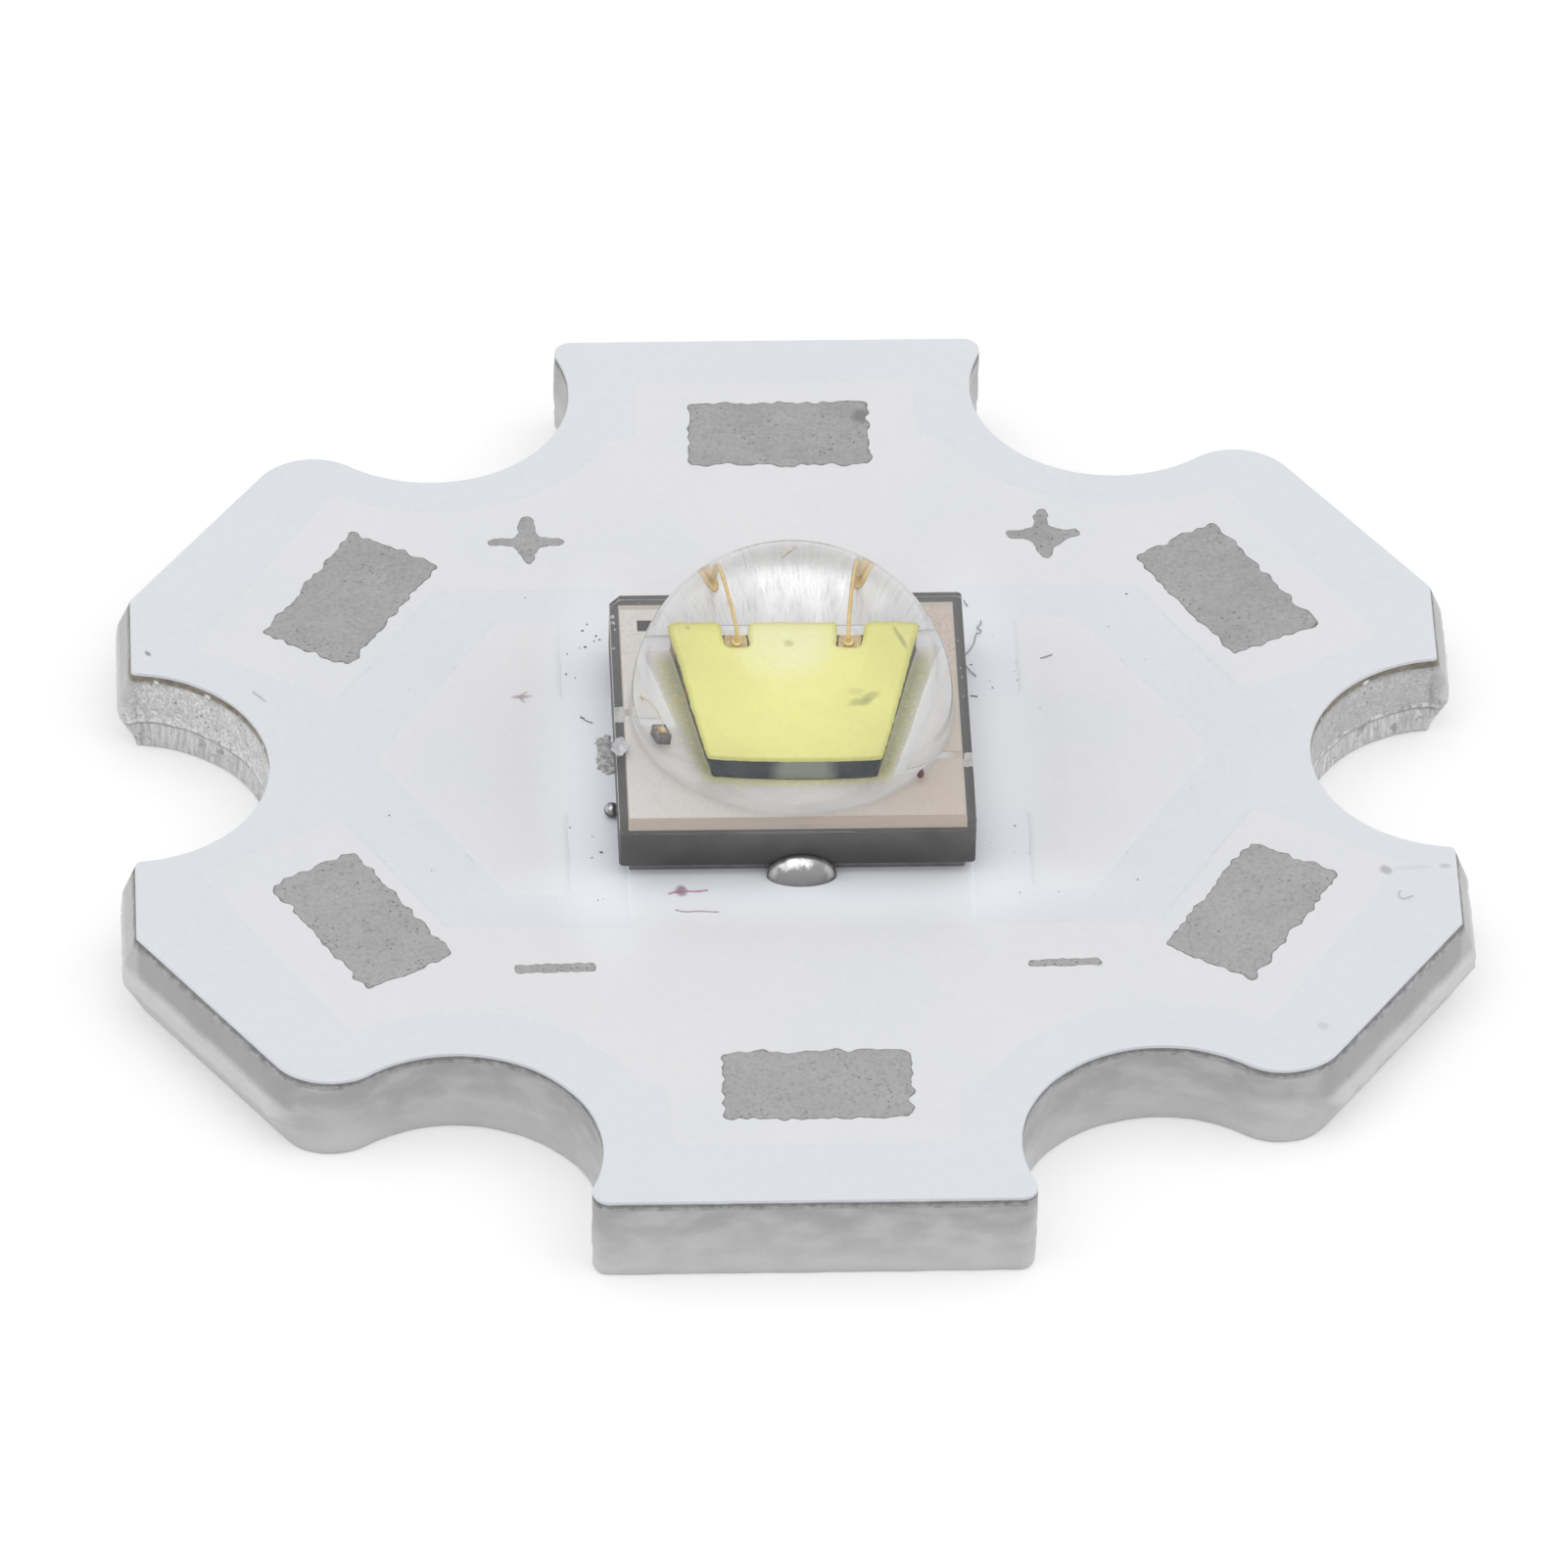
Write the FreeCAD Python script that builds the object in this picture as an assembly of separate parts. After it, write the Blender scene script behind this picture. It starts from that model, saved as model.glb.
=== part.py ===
"""High-power LED chip on a star-shaped aluminium-core board.

Millimetres. The origin is the middle of the board's flat underside, +Z is up, and the near
edge of the board faces -Y.
"""
import FreeCAD, Part
import math
import os

V = FreeCAD.Vector
UP = V(0, 0, 1)

# Board layers, from the underside up
core_thickness = 1.20
dielectric_thickness = 0.12
copper_thickness = 0.035
mask_over_copper = 0.020
mask_over_dielectric = 0.042
tin_thickness = 0.025

# Board outline, at its top face
side_distance = 9.25
side_corner_y = 3.65
diagonal_angle = 35.0
end_distance = 9.33
side_notch_centre = 9.39
side_notch_radius = 2.04
end_notch_centre = 9.55
end_notch_angle = 59.15
end_notch_radius = 2.00
shoulder_radius = 0.90
arm_corner_radius = 0.25
side_corner_radius = 0.08

# Scored and snapped edges: two grooves with a broken web between them
score_flare = 0.22
score_top_depth = 0.58
score_bottom_depth = 0.56
score_bottom_setback = 0.08

# Copper pattern, which was printed a little off the middle of the board
copper_shift_x = 0.05
copper_shift_y = 0.11
wiring_copper_edge = 3.67
notch_copper_clearance = 0.80
arm_copper_width = 3.95
arm_copper_rim = 1.09
wing_copper_angle = 31.0
wing_copper_rim = 1.21
wing_copper_depth = 2.29
wing_copper_length = 3.85
wing_copper_slide = 0.28
hub_copper_half_width = 5.05
hub_shoulder_x = 2.00
hub_shoulder_y = 7.05
lobe_inner_x = 3.28
lobe_corner_x = 4.10
lobe_tip_x = 5.86
lobe_half_height = 2.92
lobe_neck_height = 2.48
mask_step_margin = 0.03

# Exposed wiring pads, with the scalloped edge that a printed mask leaves and the mask's offset
mask_shift_x = 0.10
mask_shift_y = 0.12
pad_length = 2.57
pad_width = 1.38
arm_pad_inset = 1.18
wing_pad_inset = 1.33
wing_pad_slide = 0.22
scallop_pitch = 0.43
scallop_depth = 0.018

# Package: ceramic, its terminals and the solder under them
package_size = 5.00
ceramic_thickness = 0.59
ceramic_edge_radius = 0.04
terminal_thickness = 0.030
solder_thickness = 0.18
terminal_border = 0.11
thermal_width = 2.78
electrode_width = 0.50
solder_inset = 0.04
bead_x = 0.06
bead_stand_off = 0.02
bead_half_width = 0.49
bead_half_depth = 0.24
bead_height = 0.38

# Metal areas on the ceramic's top, with the gap between them
top_metal_thickness = 0.020
top_metal_margin_x = 0.03
top_metal_margin_y = 0.12
metal_gap = 0.145
tongue_margin_left = 0.19
tongue_margin_right = 0.18
tongue_margin_far = 0.01
left_gap_y = 0.02
right_gap_y = -0.97
index_window_size = 0.28
index_window_inset = 0.235

# Die stack
die_size = 1.99
die_foot_size = 1.86
die_x = 0.02
die_y = -0.02
die_turn = -1.2
attach_thickness = 0.015
die_thickness = 0.205
phosphor_thickness = 0.040
phosphor_notch_width = 0.22
phosphor_notch_depth = 0.28
phosphor_notch_offset = 0.46
phosphor_corner_radius = 0.05

# Gold wires and their bonds
wire_diameter = 0.030
wire_flats = 8
ball_bond_radius = 0.050
ball_bond_height = 0.030
ball_bond_inset = 0.19
stitch_radius = 0.050
stitch_height = 0.018
stitch_spread = 0.455
stitch_from_gap = 0.40
wire_bend = 0.075
die_wire_rise = 0.11
chip_wire_rise = 0.10

# Protection chip
chip_size = 0.21
chip_height = 0.12
chip_x = -1.39
chip_from_gap = 0.22
chip_turn = 5.0
chip_stitch_x = -1.37
chip_stitch_from_gap = 0.29

# Silicone: a thin square block and the dome on it, moulded in one
block_border = 0.12
block_height = 0.22
block_corner_radius = 0.14
dome_border = 0.11
dome_lift = 0.07

# Places that follow from the sizes above
diagonal_distance = (side_distance * math.cos(math.radians(diagonal_angle))
                     + side_corner_y * math.sin(math.radians(diagonal_angle)))
arm_copper_reach = end_distance - arm_copper_rim
wing_copper_outer = diagonal_distance - wing_copper_rim
wing_copper_inner = wing_copper_outer - wing_copper_depth
terminal_length = package_size - 2 * terminal_border
electrode_distance = package_size / 2 - terminal_border - electrode_width / 2
block_half = package_size / 2 - block_border
dome_radius = block_half - dome_border
top_metal_half_x = block_half - top_metal_margin_x
top_metal_half_y = block_half - top_metal_margin_y
tongue_left = die_x - die_foot_size / 2 - tongue_margin_left
tongue_right = die_x + die_foot_size / 2 + tongue_margin_right
tongue_far = die_y + die_foot_size / 2 + tongue_margin_far

# Heights that follow from the layers
core_top = core_thickness
dielectric_top = core_top + dielectric_thickness
copper_top = dielectric_top + copper_thickness
mask_top = copper_top + mask_over_copper
mask_low = dielectric_top + mask_over_dielectric
tin_top = copper_top + tin_thickness
solder_top = copper_top + solder_thickness
terminal_top = solder_top + terminal_thickness
ceramic_top = terminal_top + ceramic_thickness
metal_top = ceramic_top + top_metal_thickness
attach_top = metal_top + attach_thickness
die_top = attach_top + die_thickness
phosphor_top = die_top + phosphor_thickness
chip_top = metal_top + chip_height
block_top = ceramic_top + block_height


def at_angle(radius, degrees):
    """Point in the XY plane at a radius and an angle from the X axis."""
    turn = math.radians(degrees)
    return V(radius * math.cos(turn), radius * math.sin(turn), 0)


def arc(start, middle, end):
    return Part.Arc(start, middle, end).toShape()


def line(start, end):
    return Part.LineSegment(start, end).toShape()


def polygon_face(points):
    """Flat face inside a closed run of straight edges."""
    return Part.Face(Part.makePolygon(points + [points[0]]))


def rectangle(x0, y0, x1, y1):
    return polygon_face([V(x0, y0, 0), V(x1, y0, 0), V(x1, y1, 0), V(x0, y1, 0)])


def slab(face, bottom, top):
    """Solid between two heights with the outline of a face drawn at z = 0."""
    raised = face.copy()
    raised.translate(UP * bottom)
    return raised.extrude(UP * (top - bottom))


def fused(shapes):
    """One shape from many, with the seams between flush faces taken out."""
    return shapes[0].multiFuse(shapes[1:]).removeSplitter()


def turned(shape, degrees, centre=V(0, 0, 0)):
    copy = shape.copy()
    copy.rotate(centre, UP, degrees)
    return copy


def moved(shape, x, y, z=0):
    copy = shape.copy()
    copy.translate(V(x, y, z))
    return copy


def mirrored_x(shape):
    return shape.mirror(V(0, 0, 0), V(1, 0, 0))


# Board outline

def corner_centre(angle, distance, notch, notch_radius, radius, side):
    """Centre of the arc that rounds the corner between a straight edge and a notch.

    The arc touches the edge from inside and the notch from outside; side is +1 where the corner
    lies counter-clockwise of the notch's foot on the edge, and -1 where it lies clockwise.
    """
    normal = at_angle(1, angle)
    along = V(-normal.y, normal.x, 0)
    foot = normal * (distance - radius)
    gap = normal.dot(notch) - (distance - radius)
    reach = math.sqrt((notch_radius + radius) ** 2 - gap ** 2)
    return foot + along * (along.dot(notch) + side * reach)


def corner_points(angle, distance, notch, notch_radius, radius, side):
    """Where a corner arc meets the notch, its middle, and where it meets the straight edge."""
    centre = corner_centre(angle, distance, notch, notch_radius, radius, side)
    to_notch = (notch - centre).normalize()
    to_edge = at_angle(1, angle)
    between = (to_notch + to_edge).normalize()
    return centre + to_notch * radius, centre + between * radius, centre + to_edge * radius


def line_crossing(angle_a, distance_a, angle_b, distance_b):
    """Point where two straight edges meet, each given by its normal's angle and distance."""
    a = at_angle(1, angle_a)
    b = at_angle(1, angle_b)
    det = a.x * b.y - a.y * b.x
    x = (distance_a * b.y - distance_b * a.y) / det
    y = (a.x * distance_b - b.x * distance_a) / det
    return V(x, y, 0)


def quarter_outline():
    """Edges of the board's first quarter, from the +X notch round to the middle of the far edge."""
    side_notch = V(side_notch_centre, 0, 0)
    end_notch = at_angle(end_notch_centre, end_notch_angle)
    side_reach = side_distance + score_flare
    diagonal_reach = diagonal_distance + score_flare

    on_notch, bend, on_side = corner_points(
        0, side_distance, side_notch, side_notch_radius, side_corner_radius, 1)
    shoulder_notch, shoulder_bend, on_diagonal = corner_points(
        diagonal_angle, diagonal_distance, end_notch, end_notch_radius, shoulder_radius, -1)
    arm_notch, arm_bend, on_end = corner_points(
        90, end_distance, end_notch, end_notch_radius, arm_corner_radius, 1)

    deepest = V(side_notch_centre - side_notch_radius, 0, 0)
    half_way = (deepest + on_notch - side_notch * 2).normalize() * side_notch_radius + side_notch
    inward = at_angle(end_notch_centre - end_notch_radius, end_notch_angle)
    side_out = V(side_reach, on_side.y, 0)
    crossing = line_crossing(0, side_reach, diagonal_angle, diagonal_reach)
    diagonal_out = on_diagonal + at_angle(score_flare, diagonal_angle)
    middle = V(0, end_distance, 0)
    return [
        arc(deepest, half_way, on_notch),
        arc(on_notch, bend, on_side),
        line(on_side, side_out),
        line(side_out, crossing),
        line(crossing, diagonal_out),
        line(diagonal_out, on_diagonal),
        arc(on_diagonal, shoulder_bend, shoulder_notch),
        arc(shoulder_notch, inward, arm_notch),
        arc(arm_notch, arm_bend, on_end),
        line(on_end, middle),
    ]


def board_face():
    """Punched outline of the whole board, out to the webs of its scored edges."""
    quarter = quarter_outline()
    half = quarter + [mirrored_x(edge) for edge in quarter]
    whole = half + [edge.mirror(V(0, 0, 0), V(0, 1, 0)) for edge in half]
    return Part.Face(Part.Wire(Part.__sortEdges__(whole)))


def groove_tools(angle, distance):
    """Two wedges that cut the scoring grooves along one snapped edge, from above and from below."""
    length = 2 * end_distance
    beyond = 1.0
    web_top = mask_top - score_top_depth
    flare_out = distance + score_flare
    top_slope = score_flare / score_top_depth
    foot = distance - score_bottom_setback
    bottom_slope = (flare_out - foot) / score_bottom_depth
    top_section = [
        V(flare_out, 0, web_top),
        V(flare_out + beyond, 0, web_top),
        V(flare_out + beyond, 0, mask_top + beyond),
        V(distance - top_slope * beyond, 0, mask_top + beyond),
    ]
    bottom_section = [
        V(flare_out, 0, score_bottom_depth),
        V(foot - bottom_slope * beyond, 0, -beyond),
        V(flare_out + beyond, 0, -beyond),
        V(flare_out + beyond, 0, score_bottom_depth),
    ]
    tools = []
    for section in (top_section, bottom_section):
        wedge = polygon_face(section).extrude(V(0, length, 0))
        tools.append(turned(moved(wedge, 0, -length / 2), angle))
    return tools


def board_layer(bottom, top):
    """Full-outline layer of the board between two heights, with its scored edges cut."""
    tools = groove_tools(0, side_distance) + groove_tools(180, side_distance)
    for quarter_angle in (diagonal_angle, 180 - diagonal_angle):
        tools += groove_tools(quarter_angle, diagonal_distance)
        tools += groove_tools(-quarter_angle, diagonal_distance)
    blank = slab(board_face(), bottom, top).removeSplitter()
    return blank.cut(tools).removeSplitter()


# Copper

def wing_rectangle(inner, outer, half_length, slide):
    """Rectangle at the upper right, square to the wing's own direction."""
    face = rectangle(inner, slide - half_length, outer, slide + half_length)
    return turned(face, wing_copper_angle)


def wiring_copper_faces(grow):
    """Flat pieces that overlap to make the far copper area; grow widens them all round."""
    half_arm = arm_copper_width / 2 + grow
    half_wing = wing_copper_length / 2 + grow
    outer = wing_copper_outer + grow
    hub_low = wiring_copper_edge - grow
    hub_high = hub_shoulder_y + grow
    half_land = terminal_length / 2 + grow
    land_low = electrode_distance - electrode_width / 2 - copper_shift_y - grow
    corner = at_angle(math.hypot(outer, half_wing - wing_copper_slide), wing_copper_angle
                      + math.degrees(math.atan2(half_wing - wing_copper_slide, outer)))
    arm = rectangle(-half_arm, hub_low, half_arm, arm_copper_reach + grow)
    wing = wing_rectangle(wing_copper_inner - grow, outer, half_wing, -wing_copper_slide)
    hub = polygon_face([
        V(-hub_copper_half_width, hub_low, 0), V(hub_copper_half_width, hub_low, 0), corner,
        V(hub_shoulder_x, hub_high, 0), V(-hub_shoulder_x, hub_high, 0), V(-corner.x, corner.y, 0),
    ])
    land = rectangle(-half_land, land_low, half_land, hub_low + terminal_length / 2)
    return [hub, arm, wing, mirrored_x(wing), land]


def wiring_copper(sign, bottom, top, grow=0.0):
    """Copper area that joins three pads of one polarity; sign is +1 for the far side."""
    area = fused([slab(face, bottom, top) for face in wiring_copper_faces(grow)])
    clearance = end_notch_radius + notch_copper_clearance - grow
    for angle in (end_notch_angle, 180 - end_notch_angle):
        area = area.cut(Part.makeCylinder(clearance, mask_top, at_angle(end_notch_centre, angle)))
    if sign < 0:
        area = area.mirror(V(0, 0, 0), V(0, 1, 0))
    return moved(area, copper_shift_x, copper_shift_y)


def thermal_copper(bottom, top, grow=0.0):
    """Copper under the package, with a lobe that spreads the heat to each side."""
    half_neck = lobe_neck_height / 2 + grow
    neck = rectangle(-lobe_inner_x, -half_neck, lobe_inner_x, half_neck)
    half_height = lobe_half_height + grow
    lobe = polygon_face([
        V(lobe_inner_x - grow, -half_height, 0), V(lobe_corner_x, -half_height, 0),
        V(lobe_tip_x + grow, 0, 0), V(lobe_corner_x, half_height, 0),
        V(lobe_inner_x - grow, half_height, 0),
    ])
    faces = [moved(face, copper_shift_x, copper_shift_y) for face in (neck, lobe, mirrored_x(lobe))]
    half_land_x = terminal_length / 2 + grow
    half_land_y = thermal_width / 2 + grow
    faces.append(rectangle(-half_land_x, -half_land_y, half_land_x, half_land_y))
    return fused([slab(face, bottom, top) for face in faces])


def coppers(bottom, top, grow=0.0):
    """The three copper areas between two heights, by node name."""
    return {
        "positive_copper": wiring_copper(1, bottom, top, grow),
        "negative_copper": wiring_copper(-1, bottom, top, grow),
        "thermal_copper": thermal_copper(bottom, top, grow),
    }


# Exposed pads

def scalloped_face(corners):
    """Face inside a closed run of small outward bulges that follows straight sides."""
    edges = []
    for start, end in zip(corners, corners[1:] + corners[:1]):
        side = end - start
        outward = V(side.y, -side.x, 0).normalize()
        count = max(1, round(side.Length / scallop_pitch))
        for i in range(count):
            low = start + side * (i / count)
            high = start + side * ((i + 1) / count)
            edges.append(arc(low, (low + high) * 0.5 + outward * scallop_depth, high))
    return Part.Face(Part.Wire(edges))


def pad_face(x, y, turn):
    half_x = pad_length / 2
    half_y = pad_width / 2
    corners = [V(-half_x, -half_y, 0), V(half_x, -half_y, 0), V(half_x, half_y, 0), V(-half_x, half_y, 0)]
    return moved(turned(scalloped_face(corners), turn), x + mask_shift_x, y + mask_shift_y)


def exposed_faces():
    """Every tinned opening in the mask: node name and outline."""
    faces = {}
    for name, sign in (("positive", 1), ("negative", -1)):
        faces[name + "_pad_centre"] = pad_face(0, sign * (arm_copper_reach - arm_pad_inset), 0)
        middle = turned(Part.Vertex(wing_copper_outer - wing_pad_inset, -wing_pad_slide, 0),
                        wing_copper_angle).Point
        for side, x in (("left", -middle.x), ("right", middle.x)):
            turn = -math.copysign(90 - wing_copper_angle, x * sign)
            faces[name + "_pad_" + side] = pad_face(x, sign * middle.y, turn)
    return faces


def solder_lands():
    """Outlines of the three joints under the package: name and face."""
    half_x = terminal_length / 2 - solder_inset
    thermal = thermal_width / 2 - solder_inset
    low = electrode_distance - electrode_width / 2 + solder_inset
    high = electrode_distance + electrode_width / 2 - solder_inset
    return {
        "anode_solder": rectangle(-half_x, low, half_x, high),
        "thermal_solder": rectangle(-half_x, -thermal, half_x, thermal),
        "cathode_solder": rectangle(-half_x, -high, half_x, -low),
    }


def solder_mask(copper_areas):
    """White coat that steps up over the copper and is open at the pads and the joints."""
    flat = board_layer(dielectric_top, mask_low)
    raised = coppers(dielectric_top, mask_top, mask_step_margin)
    coat = fused([flat] + list(raised.values()))
    open_faces = list(exposed_faces().values()) + list(solder_lands().values())
    openings = [slab(face, dielectric_top, mask_top) for face in open_faces]
    return coat.cut(copper_areas + openings).removeSplitter()


# Package

def bead():
    """Round solder that was squeezed out in front of the package."""
    ball = Part.makeSphere(1.0)
    scale = FreeCAD.Matrix()
    scale.scale(V(bead_half_width, bead_half_depth, bead_height))
    round_form = ball.transformGeometry(scale)
    return moved(round_form, bead_x, -package_size / 2 - bead_stand_off, mask_top)


def solder_joint(name, face, package):
    """One joint between its copper and its terminal; the cathode's holds the bead as well."""
    joint = slab(face, copper_top, solder_top)
    if name != "cathode_solder":
        return joint
    above_mask = Part.makeBox(package_size, package_size, bead_height,
                              V(-package_size / 2, -package_size, mask_top))
    squeezed = bead().common(above_mask).cut(package)
    return fused([joint, squeezed])


def ceramic_substrate():
    half = package_size / 2
    block = slab(rectangle(-half, -half, half, half), terminal_top, ceramic_top)
    upright = [edge for edge in block.Edges if abs(edge.tangentAt(edge.FirstParameter).z) > 0.5]
    return block.makeFillet(ceramic_edge_radius, upright)


def terminals():
    half_x = terminal_length / 2
    low = electrode_distance - electrode_width / 2
    high = electrode_distance + electrode_width / 2
    half_thermal = thermal_width / 2
    return {
        "anode_terminal": slab(rectangle(-half_x, low, half_x, high), solder_top, terminal_top),
        "thermal_terminal": slab(rectangle(-half_x, -half_thermal, half_x, half_thermal),
                                 solder_top, terminal_top),
        "cathode_terminal": slab(rectangle(-half_x, -high, half_x, -low), solder_top, terminal_top),
    }


def die_metal():
    """Metal area on the near side, with the tongue that the die stands on."""
    half_gap = metal_gap / 2
    face = polygon_face([
        V(-top_metal_half_x, -top_metal_half_y, 0), V(top_metal_half_x, -top_metal_half_y, 0),
        V(top_metal_half_x, right_gap_y - half_gap, 0), V(tongue_right, right_gap_y - half_gap, 0),
        V(tongue_right, tongue_far, 0), V(tongue_left, tongue_far, 0),
        V(tongue_left, left_gap_y - half_gap, 0), V(-top_metal_half_x, left_gap_y - half_gap, 0),
    ])
    return slab(face, ceramic_top, metal_top)


def wire_metal():
    """Metal area that wraps round the tongue, with the index window near its corner."""
    half_gap = metal_gap / 2
    left = tongue_left - metal_gap
    right = tongue_right + metal_gap
    far = tongue_far + metal_gap
    face = polygon_face([
        V(-top_metal_half_x, left_gap_y + half_gap, 0), V(left, left_gap_y + half_gap, 0),
        V(left, far, 0), V(right, far, 0), V(right, right_gap_y + half_gap, 0),
        V(top_metal_half_x, right_gap_y + half_gap, 0), V(top_metal_half_x, top_metal_half_y, 0),
        V(-top_metal_half_x, top_metal_half_y, 0),
    ])
    window_x = index_window_inset - top_metal_half_x
    window_y = top_metal_half_y - index_window_inset
    window = rectangle(window_x, window_y - index_window_size, window_x + index_window_size, window_y)
    return slab(face.cut(window), ceramic_top, metal_top)


def placed_on_die(shape):
    return moved(turned(shape, die_turn), die_x, die_y)


def square_wire(size, height):
    half = size / 2
    corners = [V(x * half, y * half, height) for x, y in ((-1, -1), (1, -1), (1, 1), (-1, 1))]
    return Part.makePolygon(corners + [corners[0]])


def die_attach():
    return placed_on_die(slab(Part.Face(square_wire(die_foot_size, 0)), metal_top, attach_top))


def led_die():
    """Die whose four sides lean out towards its top."""
    sections = [square_wire(die_foot_size, attach_top), square_wire(die_size, die_top)]
    return placed_on_die(Part.makeLoft(sections, True, True))


def phosphor_layer():
    """Phosphor coat of the die, open over its two bond pads."""
    half = die_size / 2
    coat = slab(rectangle(-half, -half, half, half), die_top, phosphor_top)
    upright = [edge for edge in coat.Edges if abs(edge.tangentAt(edge.FirstParameter).z) > 0.5]
    coat = coat.makeFillet(phosphor_corner_radius, upright)
    half_notch = phosphor_notch_width / 2
    for x in (-phosphor_notch_offset, phosphor_notch_offset):
        notch = rectangle(x - half_notch, half - phosphor_notch_depth, x + half_notch, die_size)
        coat = coat.cut(slab(notch, die_top, phosphor_top))
    return placed_on_die(coat)


def wire_section(centre, direction):
    """Level cross-section of the fine wire, drawn with flats and turned to a direction."""
    first = math.degrees(math.atan2(direction.y, direction.x))
    corners = [at_angle(wire_diameter / 2, first + 360 * i / wire_flats) for i in range(wire_flats)]
    return polygon_face([centre + corner for corner in corners])


def wire_leg(foot, height, direction):
    """Upright end of a wire, with the bend at its top that turns it to a level direction."""
    riser = UP * (height - wire_bend)
    bend_centre = foot + riser + direction * wire_bend
    bend_start = wire_section(foot + riser, direction)
    bend = bend_start.revolve(bend_centre, UP.cross(direction), 90)
    return [wire_section(foot, direction).extrude(riser), bend]


def bond_wire(start, end, rise):
    """Gold wire from a ball bond at start to a stitch at end, as one looped piece."""
    ball = Part.makeCylinder(ball_bond_radius, ball_bond_height, start)
    stitch = Part.makeCylinder(stitch_radius, stitch_height, end)
    foot = start + UP * ball_bond_height
    landing = end + UP * stitch_height
    top = foot.z + rise
    direction = V(end.x - start.x, end.y - start.y, 0).normalize()
    first = wire_leg(foot, rise, direction)
    second = wire_leg(landing, top - landing.z, direction * -1)
    level_length = V(end.x - start.x, end.y - start.y, 0).Length - 2 * wire_bend
    level_end = V(foot.x, foot.y, top) + direction * wire_bend
    face = min(first[1].Faces, key=lambda f: (f.CenterOfMass - level_end).Length)
    return fused([ball, stitch, face.extrude(direction * level_length)] + first + second)


def die_wire(side):
    """Wire from one of the die's bond pads to the far metal area; side is -1 or +1."""
    local = V(side * phosphor_notch_offset, die_size / 2 - ball_bond_inset, die_top)
    start = placed_on_die(Part.Vertex(local)).Point
    end = V(die_x + side * stitch_spread, tongue_far + metal_gap + stitch_from_gap, metal_top)
    return bond_wire(start, end, die_wire_rise)


def protection_chip():
    half = chip_size / 2
    block = slab(rectangle(-half, -half, half, half), metal_top, chip_top)
    return moved(turned(block, chip_turn), chip_x, left_gap_y - metal_gap / 2 - chip_from_gap)


def protection_wire():
    half_gap = metal_gap / 2
    start = V(chip_x, left_gap_y - half_gap - chip_from_gap, chip_top)
    end = V(chip_stitch_x, left_gap_y + half_gap + chip_stitch_from_gap, metal_top)
    return bond_wire(start, end, chip_wire_rise)


def silicone_dome(inner_pieces):
    """Clear moulding: the square block with the dome on it, filled round everything inside."""
    block = slab(rectangle(-block_half, -block_half, block_half, block_half), ceramic_top, block_top)
    upright = [edge for edge in block.Edges if abs(edge.tangentAt(edge.FirstParameter).z) > 0.5]
    block = block.makeFillet(block_corner_radius, upright)
    sphere_z = block_top + dome_lift
    upper = Part.makeSphere(dome_radius, V(0, 0, sphere_z), UP, 0, 90, 360)
    foot = Part.makeCylinder(dome_radius, dome_lift, V(0, 0, block_top))
    return fused([block, foot, upper]).cut(inner_pieces)


def build():
    """Every piece of the object, by node name."""
    pieces = {}
    pieces["aluminium_core"] = board_layer(0, core_top)
    pieces["dielectric_layer"] = board_layer(core_top, dielectric_top)
    copper_areas = coppers(dielectric_top, copper_top)
    pieces.update(copper_areas)
    pieces["solder_mask"] = solder_mask(list(copper_areas.values()))
    for name, face in exposed_faces().items():
        pieces[name] = slab(face, copper_top, tin_top)

    pieces["ceramic_substrate"] = ceramic_substrate()
    pieces.update(terminals())
    package = [pieces["ceramic_substrate"], pieces["cathode_terminal"]]
    for name, face in solder_lands().items():
        pieces[name] = solder_joint(name, face, package)

    inner = {
        "die_metal": die_metal(),
        "wire_metal": wire_metal(),
        "die_attach": die_attach(),
        "led_die": led_die(),
        "phosphor_layer": phosphor_layer(),
        "bond_wire_left": die_wire(-1),
        "bond_wire_right": die_wire(1),
        "protection_chip": protection_chip(),
        "protection_wire": protection_wire(),
    }
    pieces.update(inner)
    pieces["silicone_dome"] = silicone_dome(list(inner.values()))
    return pieces


def main():
    os.makedirs("parts", exist_ok=True)
    for name, shape in build().items():
        shape.exportStep("parts/" + name + ".step")
        print(name, shape.isValid(), len(shape.Solids), round(shape.Volume, 5))


main()
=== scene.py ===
"""Looks of a high-power LED chip on a star-shaped board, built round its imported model.

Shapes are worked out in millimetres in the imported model's frame and are turned into metres when
their meshes are made.
"""
import math
import random

import bpy
from bpy.props import FloatProperty, FloatVectorProperty, IntProperty, PointerProperty
from mathutils import Matrix, Vector, noise
from mathutils.geometry import tessellate_polygon


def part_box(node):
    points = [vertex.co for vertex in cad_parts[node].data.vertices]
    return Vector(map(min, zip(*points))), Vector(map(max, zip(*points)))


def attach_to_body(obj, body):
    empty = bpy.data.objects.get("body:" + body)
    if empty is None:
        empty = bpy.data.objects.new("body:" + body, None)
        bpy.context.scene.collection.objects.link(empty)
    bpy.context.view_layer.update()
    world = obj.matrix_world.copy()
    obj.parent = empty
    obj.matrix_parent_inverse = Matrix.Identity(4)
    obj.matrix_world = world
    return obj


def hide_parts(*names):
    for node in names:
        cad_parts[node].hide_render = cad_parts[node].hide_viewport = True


bl_info = {
    "name": "High-power LED chip",
    "version": (1, 0, 0),
    "blender": (4, 5, 0),
    "location": "3D View > Sidebar > LED chip",
    "description": "Dresses a high-power LED package on its star-shaped aluminium-core board",
    "category": "Object",
}

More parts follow.
